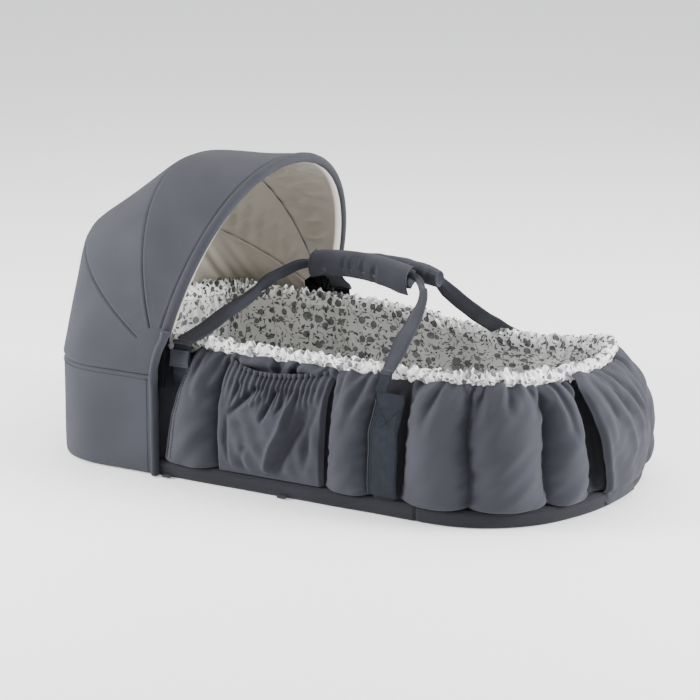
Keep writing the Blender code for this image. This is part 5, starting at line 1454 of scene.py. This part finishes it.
# Carrying handles
def curve(a, b, c, d, parts=60):
    t = np.linspace(0, 1, parts + 1)[:, None]
    a, b, c, d = (np.asarray(p, float) for p in (a, b, c, d))
    return a * (1 - t) ** 3 + b * 3 * t * (1 - t) ** 2 + c * 3 * t * t * (1 - t) + d * t ** 3


def ribbon(name, line, across, normal, half, twist, fold, thickness=WEBBING * 0.8):
    """Strap that turns about its line and closes along its middle like a book."""
    twist, fold = np.radians(twist)[:, None], np.radians(fold)[:, None]
    wide = np.cos(twist) * across + np.sin(twist) * normal
    up = -np.sin(twist) * across + np.cos(twist) * normal
    c = np.linspace(-1, 1, 17)
    crease_round = np.sqrt(c ** 2 + 0.02)
    reach = half[:, None] * c[None, :]
    drop = half[:, None] * (crease_round - math.sqrt(0.02))[None, :]
    middle = (line[:, None, :] + wide[:, None, :] * (reach * np.cos(fold))[..., None]
              - up[:, None, :] * (drop * np.sin(fold))[..., None])
    local = unit(up[:, None, :] * np.cos(fold)[..., None]
                 + wide[:, None, :] * (np.sin(fold) * (c / crease_round)[None, :])[..., None])
    edge = (1 - np.abs(c) ** 8 * 0.55)[None, :, None] * thickness / 2
    points = np.concatenate([middle + local * edge, (middle - local * edge)[:, ::-1]], axis=1)
    flat = np.concatenate([reach, reach[:, ::-1]], axis=1)
    return tube_object(name, points, layout(flat, run_along(line)[:, None])), middle, local


def arch(x, grip):
    """How far a grip bows up in its middle and droops at its ends."""
    middle = (grip[0] + grip[1]) / 2
    t = (np.asarray(x, float) - middle) / ((grip[1] - grip[0]) / 2)
    return 0.0030 - 0.0075 * t ** 2 - 0.0022 * t


def grip_place(name):
    """A grip's ends along x, and its middle in y and z."""
    low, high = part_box(name)
    return (low.x, high.x), ((low.y + high.y) / 2, (low.z + high.z) / 2)


NEAR_GRIP, NEAR_CENTRE = grip_place("near_grip")
FAR_GRIP, FAR_CENTRE = grip_place("far_grip")
# (share of the way, half width, twist, fold) of the head leg and the foot leg of each strap
STRAPS = (
    ("near", -1, NEAR_CENTRE, NEAR_GRIP,
     ((0, 0.0140, 0, 0), (0.22, 0.0125, -6, 6), (0.42, 0.0110, -16, 34), (0.50, 0.0112, -34, 60),
      (0.58, 0.0098, -14, 18), (0.82, 0.0090, -22, 30), (1, 0.0070, -35, 58)),
     ((0, 0.0080, 0, 20), (0.10, 0.0104, 3, 10), (0.28, 0.0132, 8, 4), (0.52, 0.0120, 24, 26), (0.66, 0.0105, 52, 58),
      (0.74, 0.0095, 20, 66), (0.86, 0.0085, 62, 48), (1, 0.0070, 84, 76))),
    ("far", 1, FAR_CENTRE, FAR_GRIP,
     ((0, 0.0145, 0, 0), (0.45, 0.0130, 6, 0), (0.80, 0.0115, 20, 20), (1, 0.0080, 30, 50)),
     ((0, 0.0118, 0, 0), (0.30, 0.0122, 0, 0), (0.80, 0.0116, 6, 6), (1, 0.0085, 20, 50))),
)
FAR_STRAP_ACROSS = np.array([0.77, 0.0, 0.64])
FAR_STRAP_SEWN = ((0.1400, 0.1100), (0.1375, 0.1190), (0.1320, 0.1280))
FAR_STRAP_LEAVING = np.array([0.1190, 0.1870, 0.1375])
LEG_START = 0.0006
LOOP_RADIUS = 0.0020


def leg_over_rim(line):
    """The far foot leg: sewn to the wall, over the rim, then straight to the grip with a slight sag."""
    sewn = [(x, HALF_WIDTH + seated(z, 0.35) + WEBBING * 1.6, z) for x, z in FAR_STRAP_SEWN]
    straight = [FAR_STRAP_LEAVING + (line[-1] - FAR_STRAP_LEAVING) * share
                - np.array([0, 0, 0.006]) * math.sin(math.pi * share)
                for share in (0.0, 0.12, 0.3, 0.5, 0.7, 0.87, 1.0)]
    whole = along_path(sewn + straight, 0.0005)
    return whole[np.round(np.linspace(0, len(whole) - 1, len(line))).astype(int)]


for label, side, (grip_y, grip_z), grip, head_shape, foot_shape in STRAPS:
    axis = np.array([0.0, side * AXIS_Y, AXIS_Z])
    reach = np.array([0.0, grip_y, grip_z]) - axis
    length = np.linalg.norm(reach)
    along = reach / length
    normal = np.cross([1.0, 0.0, 0.0], along)
    head_x = HEAD_WEBBING_X - (NEAR_HEAD_SHIFT if side < 0 else 0.0)
    foot_x = FOOT_WEBBING_X - (FAR_LEAN if side > 0 else NEAR_STRAP_SHIFT)
    foot_way = (((foot_x - 0.012, 0.080), (grip[1] + 0.042, length)) if side < 0
                else ((foot_x - 0.020, 0.048), (grip[1] + 0.030, length - 0.016)))
    legs = (("head", head_x, ((head_x + 0.045, 0.085), (grip[0] - 0.051, length)), grip[0] + 0.012, head_shape),
            ("foot", foot_x, foot_way, grip[1] - 0.012, foot_shape))
    for number, (end, start_x, way, inside_x, shape) in enumerate(legs):
        over_rim = side > 0 and end == "foot"
        flat = curve((start_x, LEG_START), *way, (inside_x, length))
        t = np.linspace(0, 1, len(flat))
        line = axis + np.outer(flat[:, 0], [1, 0, 0]) + np.outer(flat[:, 1], along)
        line[:, 2] += arch(inside_x, grip) * smooth(0.55, 0.95, t)
        if over_rim:
            line = leg_over_rim(line)
        direction = unit(np.gradient(line, axis=0))
        across = np.cross(direction, normal)
        if over_rim:
            across = FAR_STRAP_ACROSS - direction * (direction @ FAR_STRAP_ACROSS)[:, None]
        across = unit(across)
        across *= np.sign(across[0, 0])
        face = np.cross(across, direction)
        face *= np.sign(np.dot(face[-1], normal))
        half, twist, fold = (np.interp(t, [s[0] for s in shape], [s[k] for s in shape]) for k in (1, 2, 3))
        kink = 0.0010 * ripple(t * 0.25, 0 * t, 160 + number, 4, 0.06) * hump(t)
        leg, middle, local = ribbon(f"{label}_strap_{end}", line + face * kink[:, None], across, face, half, twist,
                                    fold)
        rows = [stitches("row", middle[2:-8, column] + way * local[2:-8, column] * WEBBING * 0.40,
                         way * local[2:-8, column], 0.0026, 0.0013, radius=0.00034)
                for column in (2, 14) for way in (1, -1)]
        seam = join(f"{label}_strap_{end}_stitches", rows)
        body = None if over_rim else f"{label}_handle"
        if over_rim:
            turned = smooth(0.022, 0.085, run_along(line))
            hang(leg, "nest", "far_handle", np.repeat(turned, len(leg.data.vertices) // len(line)))
            places_on = np.array([v.co for v in seam.data.vertices])
            nearest = np.argmin(np.linalg.norm(places_on[:, None, :] - line[None, :, :], axis=2), axis=1)
            hang(seam, "nest", "far_handle", turned[nearest])
        finish(leg, strap_cloth, body=body, replaced=(f"{label}_handle_strap",) if end == "head" else ())
        finish(seam, thread, body=body)
        if over_rim:
            continue
        turn = around_turn(40)[np.r_[:40, 0]][:, None]
        outward = np.cos(turn) * [0, 1, 0] + np.sin(turn) * [0, 0, 1]
        loop = [start_x, axis[1], axis[2]] + LOOP_RADIUS * outward
        ends = band_object(f"{label}_strap_{end}_loop", loop, np.tile([1.0, 0, 0], (41, 1)), outward,
                           2 * half[0] - 0.001, 0.0018)
        finish(ends, strap_cloth, body=body)


def dents(x, turn, creases, half, w=0.5):
    """Creases pressed into a grip: (x, depth, angle, spread in degrees, lean)."""
    total = np.zeros(np.broadcast(x, turn).shape)
    for place, depth, angle, spread, slant in creases:
        away = x - place - slant * (w - 0.5)
        total += depth * bell(away, half) * np.exp(-((turn - math.radians(angle))
                                                                / math.radians(spread)) ** 2)
    return total


def mouth(ring, share, shift):
    """A sleeve's end ring drawn in to this share and shifted along x."""
    return ring * share + ring.mean(axis=0) * (1 - share) + [shift, 0, 0]


def padded_sleeve(name, grip, centre, radii, seed, creases, body, cad, puckers=0.0012):
    """Stuffed tube of cloth with puckered ends that turn in."""
    t = np.linspace(0, 1, 110)[:, None]
    x = grip[0] + (grip[1] - grip[0]) * t
    turn = around_turn(72)[None, :]
    end = np.minimum(t, 1 - t) * (grip[1] - grip[0])
    scale = 0.86 + 0.14 * smooth(0.0, 0.016, end)
    out = 0.0004 * ripple(x, turn * 0.016, seed, 5, 0.030) - dents(x, turn, creases, 0.0028) \
        + puckers * np.cos(9 * turn + 2 * np.sin(3 * turn)) * np.exp(-end / 0.010)
    y = centre[0] + (radii[0] * scale + out) * np.cos(turn)
    z = centre[1] + arch(x, grip) + (radii[1] * scale + out) * np.sin(turn)
    rings = np.stack(np.broadcast_arrays(x, y, z), axis=-1)
    uv = layout(turn * radii[0], x)
    rings = np.concatenate([[mouth(rings[0], 0.45, 0.0045), mouth(rings[0], 0.90, -0.0012)], rings,
                            [mouth(rings[-1], 0.90, 0.0012), mouth(rings[-1], 0.45, -0.0045)]])
    sleeve = tube_object(name, rings, np.concatenate([uv[:1], uv[:1], uv, uv[-1:], uv[-1:]]))
    finish(sleeve, slate, body=body, replaced=(cad,))


padded_sleeve("near_grip_padded", (NEAR_GRIP[0] + 0.007, NEAR_GRIP[1]), NEAR_CENTRE, (0.0152, 0.0148), 171, (),
              "near_handle", "near_grip")
padded_sleeve("far_grip_padded", FAR_GRIP, FAR_CENTRE, (0.0135, 0.0125), 173,
              ((0.085, 0.0016, 200, 60, 0), (0.098, 0.0014, 150, 50, 0), (0.060, 0.0010, 180, 60, 0)),
              "far_handle", "far_grip", 0.0004)
NEAR_RADII = (0.0154, 0.0150)
FLAP_THICKNESS = 0.0028


def grip_shell(name, start, end, lifts, thickness, margins, creases, material, slot, body, cad, hem=False):
    """Curved sheet over the near grip, from one angle to another; lifts are (share, rise above the grip)."""
    t = np.linspace(0, 1, 96)[:, None]
    w = np.linspace(0, 1, 56)[None, :]
    low, high = NEAR_GRIP[0] + margins[0], NEAR_GRIP[1] - margins[1]
    x = low + (high - low) * t
    turn = np.radians(start + (end - start) * w)
    out = np.interp(w, *zip(*lifts)) - dents(x, turn, creases, 0.0030, w)
    if hem:
        out = out + smooth(0.72, 1.0, w) * (0.0040 * smooth(0.45, 1.0, t) + 0.0010 * smooth(0.2, 0.0, t)) \
            + 0.0006 * ripple(x, w * 0.05, 181, 4, 0.034) * smooth(0.1, 0.4, w)
        edge = np.minimum(np.minimum(t, 1 - t) * (high - low), (1 - w) * 0.045)
        out = out + 0.0005 * bell(edge, 0.0018) - 0.0004 * bell(edge - 0.0042, 0.0010)
    y = NEAR_CENTRE[0] + (NEAR_RADII[0] + out) * np.cos(turn)
    z = NEAR_CENTRE[1] + arch(x, NEAR_GRIP) + (NEAR_RADII[1] + out) * np.sin(turn)
    points = np.stack(np.broadcast_arrays(x, y, z), axis=-1)
    cloth_piece(name, points, layout(turn * 0.017, x), thickness, material, slot, cad, body, offset=1.0)
    return points


flap_points = grip_shell(
    "grip_flap_cloth", 82, 240, ((0.0, 0.0006), (0.5, 0.0022), (1.0, 0.0034)), FLAP_THICKNESS, (0.006, -0.003),
    ((-0.002, 0.0036, 172, 30, 0.004), (0.010, 0.0052, 168, 28, -0.003), (0.026, 0.0042, 174, 32, 0.005),
     (0.044, 0.0046, 188, 34, -0.006), (0.018, 0.0020, 150, 22, 0.0), (-0.030, 0.0016, 200, 30, 0.003)),
    slate, "slate_cloth", "grip_flap_body", "grip_flap", hem=True)
for name, lifts, thickness, material, body, cad in (
        ("grip_loop_pile", ((0.0, 0.0004), (1.0, 0.0004)), 0.0009, tape_pile, "near_handle", "grip_loop_tape"),
        ("grip_hook_strip", ((0.0, 0.0015), (1.0, 0.0017)), 0.0007, tape_hooks, "grip_flap_body", "grip_hook_tape")):
    grip_shell(name, 198, 230, lifts, thickness, (0.020, 0.020), (), material, "dark_cloth", body, cad)
grip_line = np.stack([flap_points[..., 0], np.full(flap_points.shape[:2], NEAR_CENTRE[0]),
                      NEAR_CENTRE[1] + arch(flap_points[..., 0], NEAR_GRIP)], axis=-1)
away = FLAP_THICKNESS * (flap_points - grip_line) / 0.018
outside = flap_points + away
rows = [stitches("row", outside[place], away[place], 0.0026, 0.0012)
        for place in ((3, slice(4, -5)), (-4, slice(4, -5)), (slice(3, -3), -6))]
finish(join("grip_flap_stitches", rows), thread, body="grip_flap_body")

# Pull tabs under the edge
for number in range(1, 5):
    name = f"base_tab_{number}"
    low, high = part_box(name)
    centre_x, side = (low.x + high.x) / 2, -1 if low.y < 0 else 1
    inner, outer = (high.y, low.y) if side < 0 else (low.y, high.y)
    t = np.linspace(0, 1, 14)
    line = np.stack([np.full(14, centre_x), inner + (outer - inner) * t, (low.z + high.z) / 2 - 0.0006 * t ** 2],
                    axis=1)
    tab = band_object(name + "_sewn", line, np.tile([1.0, 0, 0], (14, 1)), np.tile([0.0, 0, 1.0], (14, 1)),
                      (high.x - low.x) * (1 - 0.12 * t), high.z - low.z)
    finish(tab, strap_cloth, replaced=(name,))


# Seams sewn through the cloth
WRAP_STITCH = (0.0028, 0.0013)
wrap_normal = plan_normals(wrap_u)
seam = stitches("wrap_top_stitches", wrap_points[:, -3] + wrap_normal * 0.0001, wrap_normal, *WRAP_STITCH)
finish(seam, thread)
for index, label in ((3, "far"), (-4, "near")):
    column = wrap_points[index, 1:-1] + wrap_normal[index] * 0.0001
    seam = stitches(label + "_wrap_edge_stitches", column, wrap_normal[index], *WRAP_STITCH)
    finish(seam, thread)
BAND_SEAM_Z = 0.0178
seam_u = np.linspace(at_x(-0.160), -at_x(-0.160), 900)
band_line = on_wall(seam_u, 0.0003 + 0.0004 * ripple(seam_u, 0 * seam_u, 61, 4, 0.09), BAND_SEAM_Z)
seam = stitches("base_band_stitches", band_line, plan_normals(seam_u), 0.0030, 0.0014)
finish(seam, thread)

# Solids kept from the model: finishes for bows, hinges and the board
for material, names in ((bow_plastic, ("front_bow", "mid_bow", "rear_bow", "near_hinge_bracket",
                                       "far_hinge_bracket")),
                        (rivet_steel, ("near_hinge_rivet", "far_hinge_rivet")), (board_fibre, ("base_board",))):
    for name in names:
        solid = frame["nodes"][name]
        solid.data.materials.clear()
        solid.data.materials.append(material)

# Floor, light and camera
FLOOR_HALF = 6
floor_mesh = bpy.data.meshes.new("studio_floor")
floor_mesh.from_pydata([(x * FLOOR_HALF, y * FLOOR_HALF, 0) for x, y in ((-1, -1), (1, -1), (1, 1), (-1, 1))], [],
                       [(0, 1, 2, 3)])
floor = link(bpy.data.objects.new("studio_floor", floor_mesh))
floor_material, _, floor_shader = new_material("studio_floor", 0.9, specular=0.1)
for socket, value in (("Base Color", (0.93, 0.93, 0.93, 1.0)), ("Emission Color", (1.0, 1.0, 1.0, 1.0)),
                      ("Emission Strength", 0.35)):
    floor_shader.inputs[socket].default_value = value
floor.data.materials.append(floor_material)

world = bpy.data.worlds.new("studio")
world.use_nodes = True
world.node_tree.nodes["Background"].inputs["Color"].default_value = (0.97, 0.98, 1.0, 1.0)
world.node_tree.nodes["Background"].inputs["Strength"].default_value = 1.00
bpy.context.scene.world = world


def aim(name, data, place, target):
    """A lamp or camera that looks at its target."""
    made = link(bpy.data.objects.new(name, data))
    made.location = place
    made.rotation_euler = (target - place).to_track_quat("-Z", "Y").to_euler()
    return made


def softbox(name, place, target, size, power):
    light = bpy.data.lights.new(name, "AREA")
    light.shape = "RECTANGLE"
    light.size, light.size_y = size
    light.energy = power
    aim(name, light, Vector(place), Vector(target))


softbox("overhead", (-0.2, 0.8, 2.3), (0, 0.1, 0.1), (2.6, 1.8), 58)
softbox("left", (-1.5, -1.3, 0.8), (-0.25, 0, 0.15), (1.0, 1.0), 82)
softbox("right", (2.2, 0.65, 0.9), (0.3, 0, 0.12), (1.0, 1.3), 130)

CAMERA_AZIMUTH = math.radians(30.83)
CAMERA_ELEVATION = math.radians(13.981)
CAMERA_DISTANCE = 3.1821
CAMERA_TARGET = Vector((-0.0157, 0.0, 0.139))
back = Vector((math.sin(CAMERA_AZIMUTH) * math.cos(CAMERA_ELEVATION),
               -math.cos(CAMERA_AZIMUTH) * math.cos(CAMERA_ELEVATION), math.sin(CAMERA_ELEVATION)))
camera = bpy.data.cameras.new("camera")
camera.sensor_width = 36
camera.angle = math.radians(16)
bpy.context.scene.camera = aim("camera", camera, CAMERA_TARGET + back * CAMERA_DISTANCE, CAMERA_TARGET)
